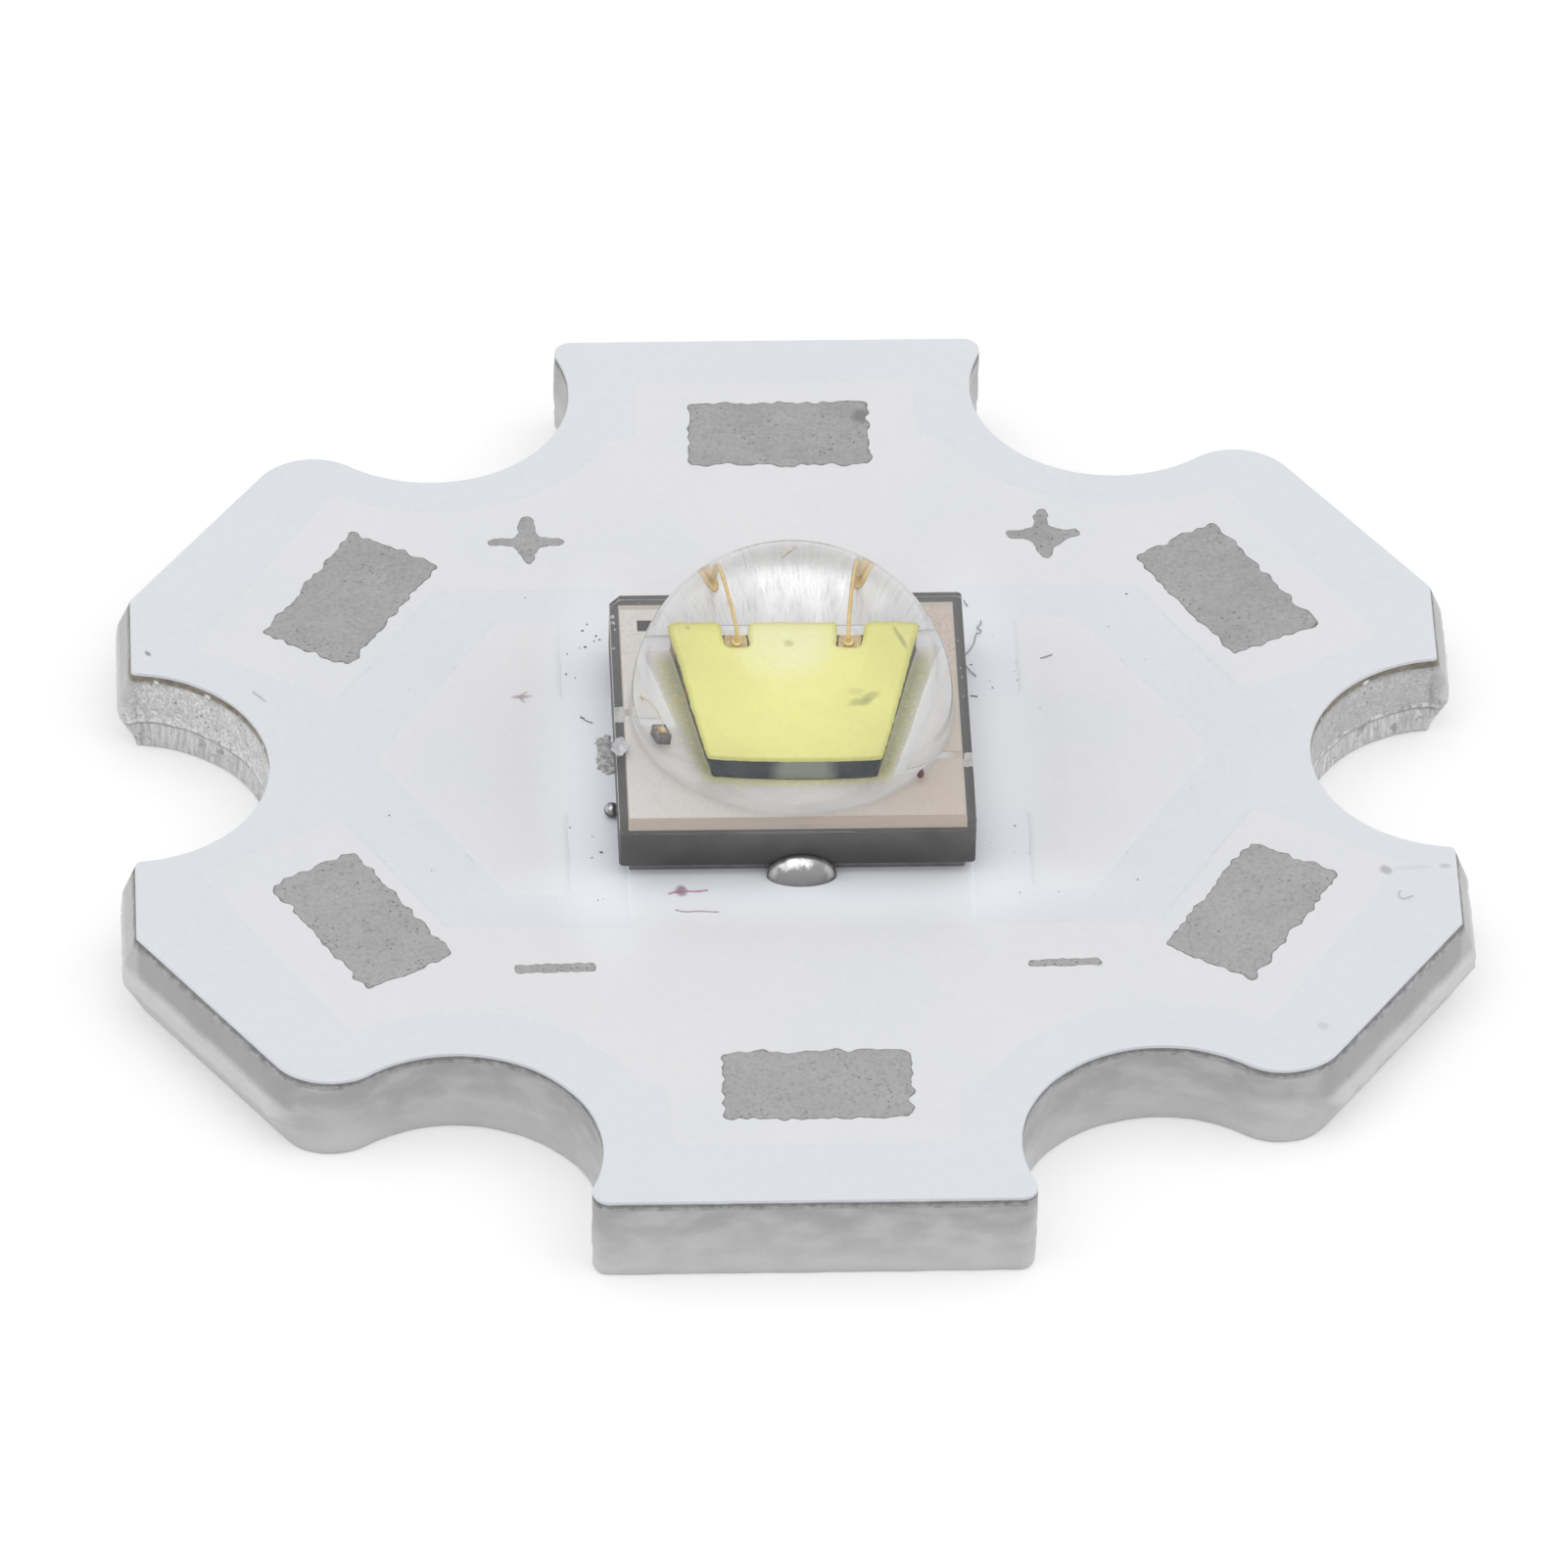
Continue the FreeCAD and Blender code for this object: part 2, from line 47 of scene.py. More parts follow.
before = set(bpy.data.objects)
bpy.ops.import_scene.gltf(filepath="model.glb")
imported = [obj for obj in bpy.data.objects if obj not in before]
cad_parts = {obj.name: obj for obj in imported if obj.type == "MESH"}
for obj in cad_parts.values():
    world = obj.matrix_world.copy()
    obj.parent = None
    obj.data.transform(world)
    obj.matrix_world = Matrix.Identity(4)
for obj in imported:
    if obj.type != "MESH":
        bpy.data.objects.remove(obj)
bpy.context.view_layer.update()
MM = 0.001


def srgb(red, green, blue):
    """Scene-linear colour from the three numbers, 0 to 255, that a screen shows."""
    shares = (value / 255 for value in (red, green, blue))
    return tuple(s / 12.92 if s <= 0.04045 else ((s + 0.055) / 1.055) ** 2.4 for s in shares)


def node_top(name):
    """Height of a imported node's top, in millimetres."""
    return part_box(name)[1].z / MM


# Sizes and colours

class BoardSizes(bpy.types.PropertyGroup):
    """Outline and relief of the star-shaped board."""
    side_distance: FloatProperty(
        name="Side distance", description="From the middle to the left and right edges",
        default=9.25 * MM, unit="LENGTH", precision=5)
    diagonal_distance: FloatProperty(
        name="Diagonal distance", description="From the middle to the four slanting edges",
        default=9.67 * MM, unit="LENGTH", precision=5)
    end_distance: FloatProperty(
        name="End distance", description="From the middle to the near and far edges",
        default=9.33 * MM, unit="LENGTH", precision=5)
    diagonal_angle: FloatProperty(
        name="Diagonal angle", description="Turn of a slanting edge's normal from the X axis",
        default=math.radians(35), subtype="ANGLE")
    end_notch_angle: FloatProperty(
        name="Notch angle", description="Turn of the four outer notches from the X axis",
        default=math.radians(59.15), subtype="ANGLE")
    side_notch_centre: FloatProperty(
        name="Side notch centre", description="From the middle to a side notch's centre",
        default=9.39 * MM, unit="LENGTH", precision=5)
    end_notch_centre: FloatProperty(
        name="Outer notch centre", description="From the middle to an outer notch's centre",
        default=9.55 * MM, unit="LENGTH", precision=5)
    side_notch_radius: FloatProperty(
        name="Side notch radius", description="Radius of the two side notches",
        default=2.04 * MM, unit="LENGTH", precision=5)
    end_notch_radius: FloatProperty(
        name="Outer notch radius", description="Radius of the four outer notches",
        default=2.0 * MM, unit="LENGTH", precision=5)
    shoulder_radius: FloatProperty(
        name="Shoulder radius", description="Rounding between a slanting edge and its notch",
        default=0.9 * MM, unit="LENGTH", precision=5)
    score_flare: FloatProperty(
        name="Score flare", description="How far the snapped web stands out of a scored edge",
        default=0.215 * MM, unit="LENGTH", precision=5)
    mask_step: FloatProperty(
        name="Mask step", description="How much lower the mask lies where no copper lifts it",
        default=0.014 * MM, unit="LENGTH", precision=6)
    pad_length: FloatProperty(
        name="Pad length", description="Long side of a tinned wiring pad",
        default=2.6 * MM, unit="LENGTH", precision=5)
    pad_width: FloatProperty(
        name="Pad width", description="Short side of a tinned wiring pad",
        default=1.41 * MM, unit="LENGTH", precision=5)
    step: FloatProperty(
        name="Outline step", description="Distance between points along the board's outline",
        default=0.075 * MM, unit="LENGTH", precision=5)


class PackageSizes(bpy.types.PropertyGroup):
    """Clear moulding and what shows through it."""
    film_half: FloatProperty(
        name="Film half width", description="Half the width of the square silicone film",
        default=2.496 * MM, unit="LENGTH", precision=5)
    film_height: FloatProperty(
        name="Film height", description="Height of the silicone film over the ceramic",
        default=0.165 * MM, unit="LENGTH", precision=5)
    dome_radius: FloatProperty(
        name="Dome radius", description="Radius of the silicone dome",
        default=2.27 * MM, unit="LENGTH", precision=5)
    dome_turns: IntProperty(
        name="Dome segments", description="Points round the dome", default=176, min=48)
    wire_radius: FloatProperty(
        name="Wire radius", description="Radius of the gold bond wires",
        default=0.0155 * MM, unit="LENGTH", precision=6)
    ball_radius: FloatProperty(
        name="Loose ball radius", description="Radius of the solder ball beside the package",
        default=0.106 * MM, unit="LENGTH", precision=5)


class Colours(bpy.types.PropertyGroup):
    """Main colours of the finishes."""
    mask: FloatVectorProperty(
        name="Mask", description="White solder mask over bare dielectric",
        default=srgb(219, 222, 227), subtype="COLOR", min=0, max=1)
    mask_copper: FloatVectorProperty(
        name="Mask over copper", description="White solder mask where copper lies under it",
        default=srgb(224, 224, 226), subtype="COLOR", min=0, max=1)
    tin: FloatVectorProperty(
        name="Tin", description="Matte tin of the wiring pads and marks",
        default=srgb(160, 160, 161), subtype="COLOR", min=0, max=1)
    aluminium: FloatVectorProperty(
        name="Aluminium", description="Punched and snapped walls of the core",
        default=srgb(192, 192, 193), subtype="COLOR", min=0, max=1)
    dielectric: FloatVectorProperty(
        name="Dielectric", description="Brown layer between core and copper",
        default=srgb(148, 141, 128), subtype="COLOR", min=0, max=1)
    ceramic: FloatVectorProperty(
        name="Ceramic", description="Grey sides and border of the package",
        default=srgb(95, 94, 94), subtype="COLOR", min=0, max=1)
    ceramic_top: FloatVectorProperty(
        name="Ceramic top", description="White coat between the metal areas",
        default=srgb(251, 252, 254), subtype="COLOR", min=0, max=1)
    phosphor: FloatVectorProperty(
        name="Phosphor", description="Yellow coat on the die",
        default=srgb(241, 240, 155), subtype="COLOR", min=0, max=1)
    die: FloatVectorProperty(
        name="Die", description="Sides of the die",
        default=srgb(62, 68, 76), subtype="COLOR", min=0, max=1)
    gold: FloatVectorProperty(
        name="Gold", description="Bond wires and their balls",
        default=srgb(226, 196, 132), subtype="COLOR", min=0, max=1)
    solder: FloatVectorProperty(
        name="Solder", description="Shiny solder bead",
        default=srgb(206, 206, 208), subtype="COLOR", min=0, max=1)


# Shader nodes

class Wire:
    """A socket that Python expressions can use, each of which adds its Math nodes."""

    def __init__(self, paint, socket):
        self.paint = paint
        self.socket = socket

    def __abs__(self):
        return self.paint.math("ABSOLUTE", self)

    def __add__(self, other):
        return self.paint.math("ADD", self, other)

    def __sub__(self, other):
        return self.paint.math("SUBTRACT", self, other)

    def __rsub__(self, other):
        return self.paint.math("SUBTRACT", other, self)

    def __mul__(self, other):
        return self.paint.math("MULTIPLY", self, other)

    __radd__ = __add__
    __rmul__ = __mul__


class Paint:
    """The node tree of a material or world, with the few kinds of node that the finishes share."""

    def __init__(self, owner):
        owner.use_nodes = True
        self.tree = owner.node_tree
        self.tree.nodes.clear()

    def node(self, kind, settings=None, inputs=None, output=0):
        """Adds a node, sets its settings, then feeds its sockets with values or wires."""
        node = self.tree.nodes.new("ShaderNode" + kind)
        for name, value in (settings or {}).items():
            setattr(node, name, value)
        for key, value in (inputs or {}).items():
            if isinstance(value, Wire):
                self.tree.links.new(value.socket, node.inputs[key])
            else:
                node.inputs[key].default_value = value
        return Wire(self, node.outputs[output]) if len(node.outputs) else None

    def math(self, operation, *values, clamp=False):
        settings = {"operation": operation, "use_clamp": clamp}
        return self.node("Math", settings, dict(enumerate(values)))

    def vector(self, operation, *values, output=0):
        return self.node("VectorMath", {"operation": operation}, dict(enumerate(values)), output)

    def larger(self, first, second):
        return self.math("MAXIMUM", first, second)

    def place(self):
        """Position on the object, in millimetres."""
        metres = self.node("TexCoord", output=3)
        return self.vector("MULTIPLY", metres, (1 / MM,) * 3)

    def attribute(self, name):
        """The share that a mesh's points carry under a name."""
        return self.node("Attribute", {"attribute_name": name}, output=2)

    def axes(self, vector):
        """The three numbers of a vector."""
        split = self.tree.nodes.new("ShaderNodeSeparateXYZ")
        self.tree.links.new(vector.socket, split.inputs[0])
        return [Wire(self, socket) for socket in split.outputs]

    def leaning(self, place, angle):
        """Place turned about the vertical by an angle in radians."""
        return self.node("VectorRotate", {"rotation_type": "Z_AXIS"}, {"Vector": place, "Angle": angle})

    def scaled(self, place, scale):
        """Place and scale for a texture, whose scale is one number or one for each axis."""
        if isinstance(scale, tuple):
            return {"Vector": self.vector("MULTIPLY", place, scale), "Scale": 1.0}
        return {"Vector": place, "Scale": scale}

    def grain(self, place, scale, detail=2.0, rough=0.5):
        """Cloudy noise from 0 to 1; scale is how many clouds fit in a millimetre."""
        inputs = {**self.scaled(place, scale), "Detail": detail, "Roughness": rough}
        return self.node("TexNoise", {}, inputs)

    def cells(self, place, scale):
        """Distance from scattered points, which gives round pits and grains."""
        return self.node("TexVoronoi", {"feature": "F1"}, self.scaled(place, scale))

    def fade(self, value, low, high):
        """Smooth step from 0 at low to 1 at high, which may lie below low."""
        inputs = {"Value": value, "From Min": min(low, high), "From Max": max(low, high)}
        if high < low:
            inputs.update({"To Min": 1.0, "To Max": 0.0})
        return self.node("MapRange", {"interpolation_type": "SMOOTHSTEP"}, inputs)

    def spots(self, place, scale, radius, core):
        """1 on scattered dots, which are solid out to core and gone at radius."""
        return self.fade(self.cells(place, scale), radius, core)

    def mix(self, share, first, second):
        """Colour between two colours."""
        colours = [c if isinstance(c, Wire) else (*c, 1.0) for c in (first, second)]
        return self.node("Mix", {"data_type": "RGBA"}, {0: share, 6: colours[0], 7: colours[1]}, 2)

    def blend(self, value, low, high, first, second):
        """One colour where a value is at low and another where it is at high."""
        return self.mix(self.fade(value, low, high), first, second)

    def coats(self, colour, *layers):
        """A colour with coats laid over it in turn, each given by its share and its colour."""
        for share, coat in layers:
            colour = self.mix(share, colour, coat)
        return colour

    def spot(self, place, x, y, radius_x, radius_y, turn=0.0, soft=0.5, wander=None):
        """1 inside an ellipse on the XY plane and 0 outside it, with a soft edge."""
        centred = self.vector("SUBTRACT", place, (x, y, 0.0))
        level = self.vector("MULTIPLY", self.leaning(centred, -math.radians(turn)),
                            (1 / radius_x, 1 / radius_y, 0.0))
        reach = self.vector("LENGTH", level, output=1)
        if wander is not None:
            reach = reach + wander
        return self.fade(reach, 1 + soft / 2, 1 - soft / 2)

    def bump(self, height, depth, strength=1.0):
        """Normal from a height; depth is what a height of 1 stands for, in millimetres."""
        return self.node("Bump", {}, {"Height": height, "Distance": depth * MM, "Strength": strength})

    def finish(self, **inputs):
        """Ends the tree with the main shader; underscores in the names stand for spaces."""
        named = {}
        for name, value in inputs.items():
            if isinstance(value, tuple) and len(value) == 3:
                value = (*value, 1.0)
            named[name.replace("_", " ")] = value
        surface = self.node("BsdfPrincipled", {}, named)
        self.node("OutputMaterial", {}, {"Surface": surface})


# Finishes

def tone(name):
    """One of the main colours."""
    return tuple(getattr(bpy.context.scene.led_colours, name))


def shade(colour, factor):
    """A colour made darker or lighter by one factor."""
    return tuple(min(1.0, part * factor) for part in colour)


# Painted light on the mask beside the package, which lifts the shade that falls there: centre, half sizes
# and share
PAINTED_LIGHT_NEAR_PACKAGE = (
    (0.1, -2.75, 3.0, 0.6, 0.8),
    (-2.62, -0.2, 0.72, 2.9, 0.95),
    (2.62, 0.2, 0.68, 2.8, 0.7),
)

# Stains on the mask: centre, half sizes, turn in degrees, share and colour
STAINS = (
    (-3.75, 1.415, 0.13, 0.04, 1, 0.75, (150, 138, 134)),
    (-3.72, 1.480, 0.075, 0.02, 41, 0.65, (156, 148, 146)),
    (-3.745, 1.345, 0.07, 0.022, -57, 0.65, (156, 148, 146)),
    (8.25, -2.53, 0.07, 0.10, 20, 0.5, (135, 134, 136)),
    (8.60, -2.48, 0.25, 0.05, 4, 0.12, (150, 148, 150)),
    (9.08, -2.45, 0.07, 0.05, 0, 0.35, (140, 138, 140)),
    (7.19, -5.82, 0.07, 0.07, 0, 0.25, (150, 148, 150)),
    (-9.02, 2.47, 0.03, 0.06, 30, 0.7, (110, 110, 112)),
    (-1.64, -2.81, 0.08, 0.10, 0, 0.7, (128, 84, 116)),
)


def paint_mask(paint):
    """White solder mask: satin, faintly mottled, a little warmer over the copper, with painted light beside
    the package.
    """
    place = paint.place()
    clouds = paint.grain(place, 0.55, 3.0)
    mottle = paint.grain(place, 9.0, 3.0, 0.6)
    wander = (paint.grain(place, 5.0, 3.0) - 0.5) * 1.2
    peel = paint.grain(place, 14.0, 2.0)
    colour = paint.coats(
        tone("mask"),
        (paint.attribute("copper"), tone("mask_copper")),
        (paint.fade(clouds, 0.35, 0.75) * 0.4, shade(tone("mask"), 0.965)),
        (paint.fade(mottle, 0.4, 0.75) * 0.35, shade(tone("mask_copper"), 1.05)))
    # Painted light: paler spots that lift the shade beside the package.
    for x, y, wide, long, share in PAINTED_LIGHT_NEAR_PACKAGE:
        colour = paint.mix(paint.spot(place, x, y, wide, long, 0, 1.5) * share, colour, srgb(246, 249, 255))
    for *ellipse, share, stain in STAINS:
        colour = paint.mix(paint.spot(place, *ellipse, 1.0, wander) * share, colour, srgb(*stain))
    paint.finish(Base_Color=colour, Roughness=0.42 + (peel - 0.5) * 0.2,
                 Specular_IOR_Level=0.35, Normal=paint.bump(peel, 0.006, 0.6))


def paint_tin(paint):
    """Matte hot-air tin with fine pits and scratches, with painted light on the near pads and painted shade
    along the edge of the mask.
    """
    place = paint.place()
    x, y = paint.axes(place)[:2]
    tin = tone("tin")
    clouds = paint.grain(place, 1.7, 4.0, 0.6)
    fine = paint.grain(place, 15.0, 4.0, 0.75)
    region = paint.grain(place, 2.6, 2.0)
    on_mark = paint.fade(abs(x), 4.5, 4.4) * paint.fade(abs(y), 5.8, 5.7)
    pits = paint.spots(place, 12.0, 0.28, 0.1) * paint.fade(region + on_mark * 0.09, 0.53, 0.62)
    dashes = paint.spots(paint.leaning(place, 0.25), (15.0, 3.2, 1.0), 0.2, 0.07)
    scratch = dashes * paint.fade(region, 0.5, 0.6)
    worn = paint.spots(place, 14.0, 0.3, 0.14) * paint.fade(paint.grain(place, 0.9, 2.0), 0.54, 0.64)
    colour = paint.coats(
        paint.blend(clouds, 0.3, 0.72, shade(tin, 0.95), shade(tin, 1.08)),
        # Painted light: the pads grow paler towards the near side.
        (paint.fade(y, 7.0, -7.0) * 0.3, shade(tin, 1.3)),
        (paint.fade(fine, 0.5, 0.68) * 0.6, shade(tin, 0.68)),
        (paint.fade(fine, 0.44, 0.3) * 0.6, shade(tin, 1.36)),
        (worn * 0.5, shade(tin, 1.4)),
        (pits * 0.8, shade(tin, 0.3)),
        (scratch * 0.45, shade(tin, 0.45)),
        (paint.spot(place, 1.31, 7.56, 0.14, 0.14, 0, 1.0) * 0.6, shade(tin, 0.35)),
        # Painted shade along the edge of the mask.
        (paint.fade(paint.attribute("rim") + (fine - 0.5) * 0.9, 0.68, 1.05) * 0.75, shade(tin, 0.42)))
    height = fine * 0.6 + clouds * 0.4 - pits - scratch * 0.5
    paint.finish(Base_Color=colour, Metallic=0.25, Roughness=0.55 + (fine - 0.5) * 0.3,
                 Normal=paint.bump(height, 0.007, 0.7))


def side_notches(paint, x, y, low_y):
    """1 on the walls of the left and right notches."""
    return paint.fade(abs(x), 6.9, 7.3) * paint.fade(abs(y), 2.6, low_y)


def paint_aluminium(paint):
    """Core wall: torn and then rubbed in the side notches, dull elsewhere, ridged where it was scored, with
    painted shade on that slope and a painted highlight along its ridge.
    """
    place = paint.place()
    x, y, z = paint.axes(place)
    metal = tone("aluminium")
    scored = paint.attribute("scored")
    notch = side_notches(paint, x, y, 2.2)
    blotch = paint.grain(place, 1.3, 4.0, 0.6)
    wander = (blotch - 0.5) * 0.16
    fine = paint.grain(place, 20.0, 4.0, 0.75)
    streak = paint.grain(place, (17.0, 17.0, 2.2), 4.0, 0.7)
    patch = paint.grain(place, 4.5, 4.0, 0.7)

    level = z + (blotch - 0.5) * 0.8 + (fine - 0.5) * 0.25
    smears = paint.grain(place, (1.6, 1.6, 3.2), 2.0)
    dull = paint.coats(
        paint.blend(level, 0.0, 1.25, shade(metal, 1.11), shade(metal, 0.76)),
        (paint.fade(smears, 0.35, 0.7) * 0.45, shade(metal, 1.25)))

    pits = paint.spots(place, 10.0, 0.26, 0.1) * paint.fade(paint.grain(place, 2.7, 3.0), 0.5, 0.6)
    torn = paint.coats(
        paint.blend(fine, 0.32, 0.68, shade(metal, 1.70), shade(metal, 0.92)),
        (paint.fade(patch, 0.46, 0.62) * 0.5, shade(metal, 0.92)),
        (paint.fade(x, -1.0, 1.0) * 0.5, shade(metal, 0.8)),
        (pits * 0.85, shade(metal, 0.3)))
    rubbed = paint.coats(
        paint.blend(streak, 0.3, 0.7, shade(metal, 1.55), shade(metal, 0.9)),
        (paint.fade(fine, 0.48, 0.7) * 0.5, shade(metal, 0.85)),
        (paint.fade(patch, 0.55, 0.64) * 0.6, shade(metal, 0.5)))
    ragged_level = z + wander
    burr = paint.fade(abs(ragged_level - 0.5), 0.06, 0.02)
    burr *= paint.fade(paint.grain(place, 6.0, 3.0, 0.7), 0.48, 0.56)
    line = paint.fade(abs(ragged_level - 0.44), 0.03, 0.008)
    punched = paint.coats(
        paint.blend(ragged_level, 0.47, 0.42, torn, rubbed),
        (burr * 0.6, shade(metal, 1.8)),
        (line * 0.55, shade(metal, 0.5)))

    # Painted shade on the scored slope, which stays lighter on the left and right edges, where it is lit;
    # blotches lie over it.
    slope = paint.fade(scored, 0.25, 0.7) * paint.fade(z + (blotch - 0.5) * 0.1, 0.70, 0.84)
    side = paint.fade(abs(x), 9.2, 9.3)
    blotched_shaded_slope = paint.coats(
        paint.mix(side, shade(metal, 0.72), shade(metal, 1.0)),
        (paint.fade(blotch + (fine - 0.5) * 0.4, 0.35, 0.65) * 0.6, shade(metal, 0.68)),
        (side * 0.6, shade(metal, 0.98)))
    # Painted highlight along the ridge of the snapped web.
    band = scored * 0.2 - abs(z + (streak - 0.5) * 0.04 + (blotch - 0.5) * 0.12 - 0.72)
    ridge_highlight = paint.fade(band, -0.05, 0.12) * paint.fade(scored, 0.3, 0.95)
    dots = paint.spots(place, 2.2, 0.12, 0.05) * paint.fade(scored, 0.5, 0.9)
    rim = paint.fade(z + (streak - 0.5) * 0.10, 1.12, 1.20) * notch
    colour = paint.coats(
        paint.mix(notch, dull, punched),
        (slope * 0.85, blotched_shaded_slope),
        (ridge_highlight * 0.85, shade(metal, 1.26)),
        (dots * 0.4, shade(metal, 0.5)),
        (rim * 0.35, tone("dielectric")))
    height = streak * 0.3 + fine * 0.6 - line * notch * 0.6 - pits * notch * 0.6
    paint.finish(Base_Color=colour, Metallic=0.35, Roughness=0.5 + (fine - 0.5) * 0.3,
                 Normal=paint.bump(height * (0.3 + notch * 0.7), 0.016, 0.8))


def paint_dielectric(paint):
    """Filled resin, torn at its cut edge: grey below, a brown band under the mask, white chips under it."""
    place = paint.place()
    x, y, z = paint.axes(place)
    resin = tone("dielectric")
    clouds = paint.grain(place, 6.0, 4.0, 0.65)
    torn = paint.grain(place, (9.0, 9.0, 3.0), 3.0)
    notch = side_notches(paint, x, y, 2.0)
    greys = paint.blend(clouds, 0.3, 0.7, srgb(148, 147, 147), srgb(182, 182, 183))
    brown = paint.blend(clouds, 0.3, 0.7, shade(resin, 0.6), shade(resin, 1.1))
    dark = paint.blend(clouds, 0.3, 0.7, srgb(118, 118, 120), srgb(146, 146, 147))
    roof = node_top("dielectric_layer")
    line = paint.fade(z + (torn - 0.5) * 0.11 + notch * 0.045, roof - 0.075, roof - 0.045)
    chips = paint.spots(place, 5.0, 0.34, 0.22) * paint.fade(torn, 0.46, 0.56) * notch
    colour = paint.coats(
        paint.mix(line, greys, paint.mix(notch, dark, brown)),
        (chips * paint.fade(z, roof - 0.04, roof - 0.07) * 0.9, shade(tone("mask"), 1.3)))
    paint.finish(Base_Color=colour, Roughness=0.7, Normal=paint.bump(torn, 0.015, 0.8))


def paint_ceramic(paint):
    """Grey ceramic with painted shade towards its foot, whose top has a white coat, bare in the index window
    and along the border.
    """
    place = paint.place()
    x, y, z = paint.axes(place)
    grey = tone("ceramic")
    low, high = node_top("anode_terminal"), node_top("ceramic_substrate")
    grain = paint.grain(place, 14.0, 4.0, 0.6)
    clouds = paint.grain(place, 1.6, 3.0)
    top = paint.fade(z, high - 0.012, high - 0.004)
    # Painted shade: darker towards the foot, less so near the corners.
    foot_shade = paint.fade(z + (grain - 0.5) * 0.1, high + 0.1, low)
    foot_shade *= 1 - paint.fade(abs(x), 1.5, 2.6) * 0.5
    reach = paint.larger(abs(x), abs(y))
    coat = paint.fade(reach, 2.375, 2.355) * top
    margin = paint.blend(y, -2.1, -2.3, srgb(222, 213, 204), srgb(208, 193, 180))
    window = paint.larger(abs(x + 1.985), abs(y - 1.985) - 0.03)
    chips = paint.spots(place, 3.2, 0.1, 0.05) * top * paint.fade(reach, 2.38, 2.4)
    colour = paint.coats(
        paint.blend(clouds, 0.3, 0.7, shade(grey, 0.88), shade(grey, 1.2)),
        (foot_shade * 0.9, shade(grey, 0.36)),
        (top * paint.fade(y, -2.3, 2.0) * 0.7, srgb(124, 124, 126)),
        (coat, tone("ceramic_top")),
        (coat * paint.fade(reach, 2.05, 2.32), margin),
        (paint.fade(window, 0.16, 0.15) * top, srgb(96, 96, 96)),
        (chips * 0.7, srgb(225, 225, 225)))
    paint.finish(Base_Color=colour, Roughness=0.55 + (grain - 0.5) * 0.3,
                 Normal=paint.bump(grain, 0.006, 0.6))


def paint_silicone(paint):
    """Clear silicone."""
    paint.finish(Base_Color=(0.985, 0.985, 0.98), Roughness=0.0, IOR=1.5, Transmission_Weight=1.0)


def paint_plating(paint):
    """Silver plating, brushed one way, with a painted highlight on its far part under the dome; tarnished
    beige outside the dome, dusted yellow round the die, with painted glints there.
    """
    place = paint.place()
    x, y = paint.axes(place)[:2]
    brushed = paint.grain(place, (62.0, 8.0, 1.0), 3.0, 0.6)
    clouds = paint.grain(place, 1.4, 3.0)
    broad = paint.grain(place, (7.0, 1.6, 1.0), 2.0)
    fine = paint.grain(place, 24.0, 3.0, 0.6)
    crust = paint.grain(place, 20.0, 4.0, 0.7)
    # Painted highlight: a pale patch on the far plating, which is also glossier there.
    highlight_patch = paint.spot(place, 0.15, 1.80, 0.95, 0.42, 0, 1.4, (broad - 0.5) * 1.2)

    bright = paint.coats(
        paint.mix(highlight_patch, srgb(240, 240, 242), srgb(255, 255, 255)),
        (paint.fade(brushed, 0.48, 0.7) * 0.6, srgb(212, 212, 214)))
    plain = paint.blend(clouds, 0.35, 0.7, srgb(244, 242, 242), srgb(232, 230, 230))
    under_dome = paint.blend(y + (brushed - 0.5) * 0.2, 0.95, 1.15, plain, bright)

    crusted = paint.fade(y, 0.2, 1.4) * (0.35 + paint.fade(x, 0.0, 1.5) * 0.4)
    beige = paint.blend(x + (clouds - 0.5) * 2.0, -1.8, 2.2, srgb(252, 249, 246), srgb(235, 223, 212))
    under_film = paint.coats(
        beige,
        (paint.fade(brushed, 0.5, 0.75) * 0.35, srgb(214, 200, 188)),
        (paint.fade(crust, 0.5, 0.66) * crusted, srgb(214, 182, 150)),
        (paint.fade(crust, 0.42, 0.3) * crusted, srgb(252, 246, 240)))

    reach = paint.vector("LENGTH", paint.vector("MULTIPLY", place, (1.0, 1.0, 0.0)), output=1)
    ring = paint.larger(abs(x - 0.02), abs(y + 0.06))
    near_die = paint.fade(ring + (clouds - 0.5) * 0.16, 1.15, 1.0) * paint.fade(y, 1.0, 0.7)
    sand = paint.fade(ring + (clouds - 0.5) * 0.2, 1.34, 1.1) * paint.fade(y, 0.9, 0.6)
    grit = paint.fade(paint.grain(place, 30.0, 2.0), 0.5, 0.62)
    colour = paint.coats(
        paint.blend(reach, 2.14, 2.3, under_dome, under_film),
        (near_die * (0.2 + fine * 0.7), srgb(244, 242, 156)),
        (grit * sand * 0.2, srgb(214, 212, 150)),
        # Painted glints: pale spots over the sandy ring round the die.
        (paint.spots(place, 13.0, 0.32, 0.16) * sand * 0.9, srgb(255, 254, 206)))
    paint.finish(Base_Color=colour, Metallic=0.2 + highlight_patch * 0.62,
                 Roughness=0.42 + (brushed - 0.5) * 0.2 - highlight_patch * 0.21,
                 Normal=paint.bump(brushed, 0.0014, 0.5))


# Marks from handling on the phosphor: centre, half sizes, turn in degrees and share
HANDLING = (
    (0.005, 0.74, 0.04, 0.035, 0, 0.45),
    (0.66, -0.02, 0.10, 0.055, 8, 0.55),
    (0.74, 0.06, 0.10, 0.05, 40, 0.5),
    (0.905, 0.80, 0.016, 0.12, 33, 0.6),
    (-0.80, 0.93, 0.02, 0.02, 0, 0.4),
    (0.60, 0.13, 0.06, 0.04, 0, 0.2),
    (-0.98, 0.62, 0.02, 0.05, 0, 0.5),
)


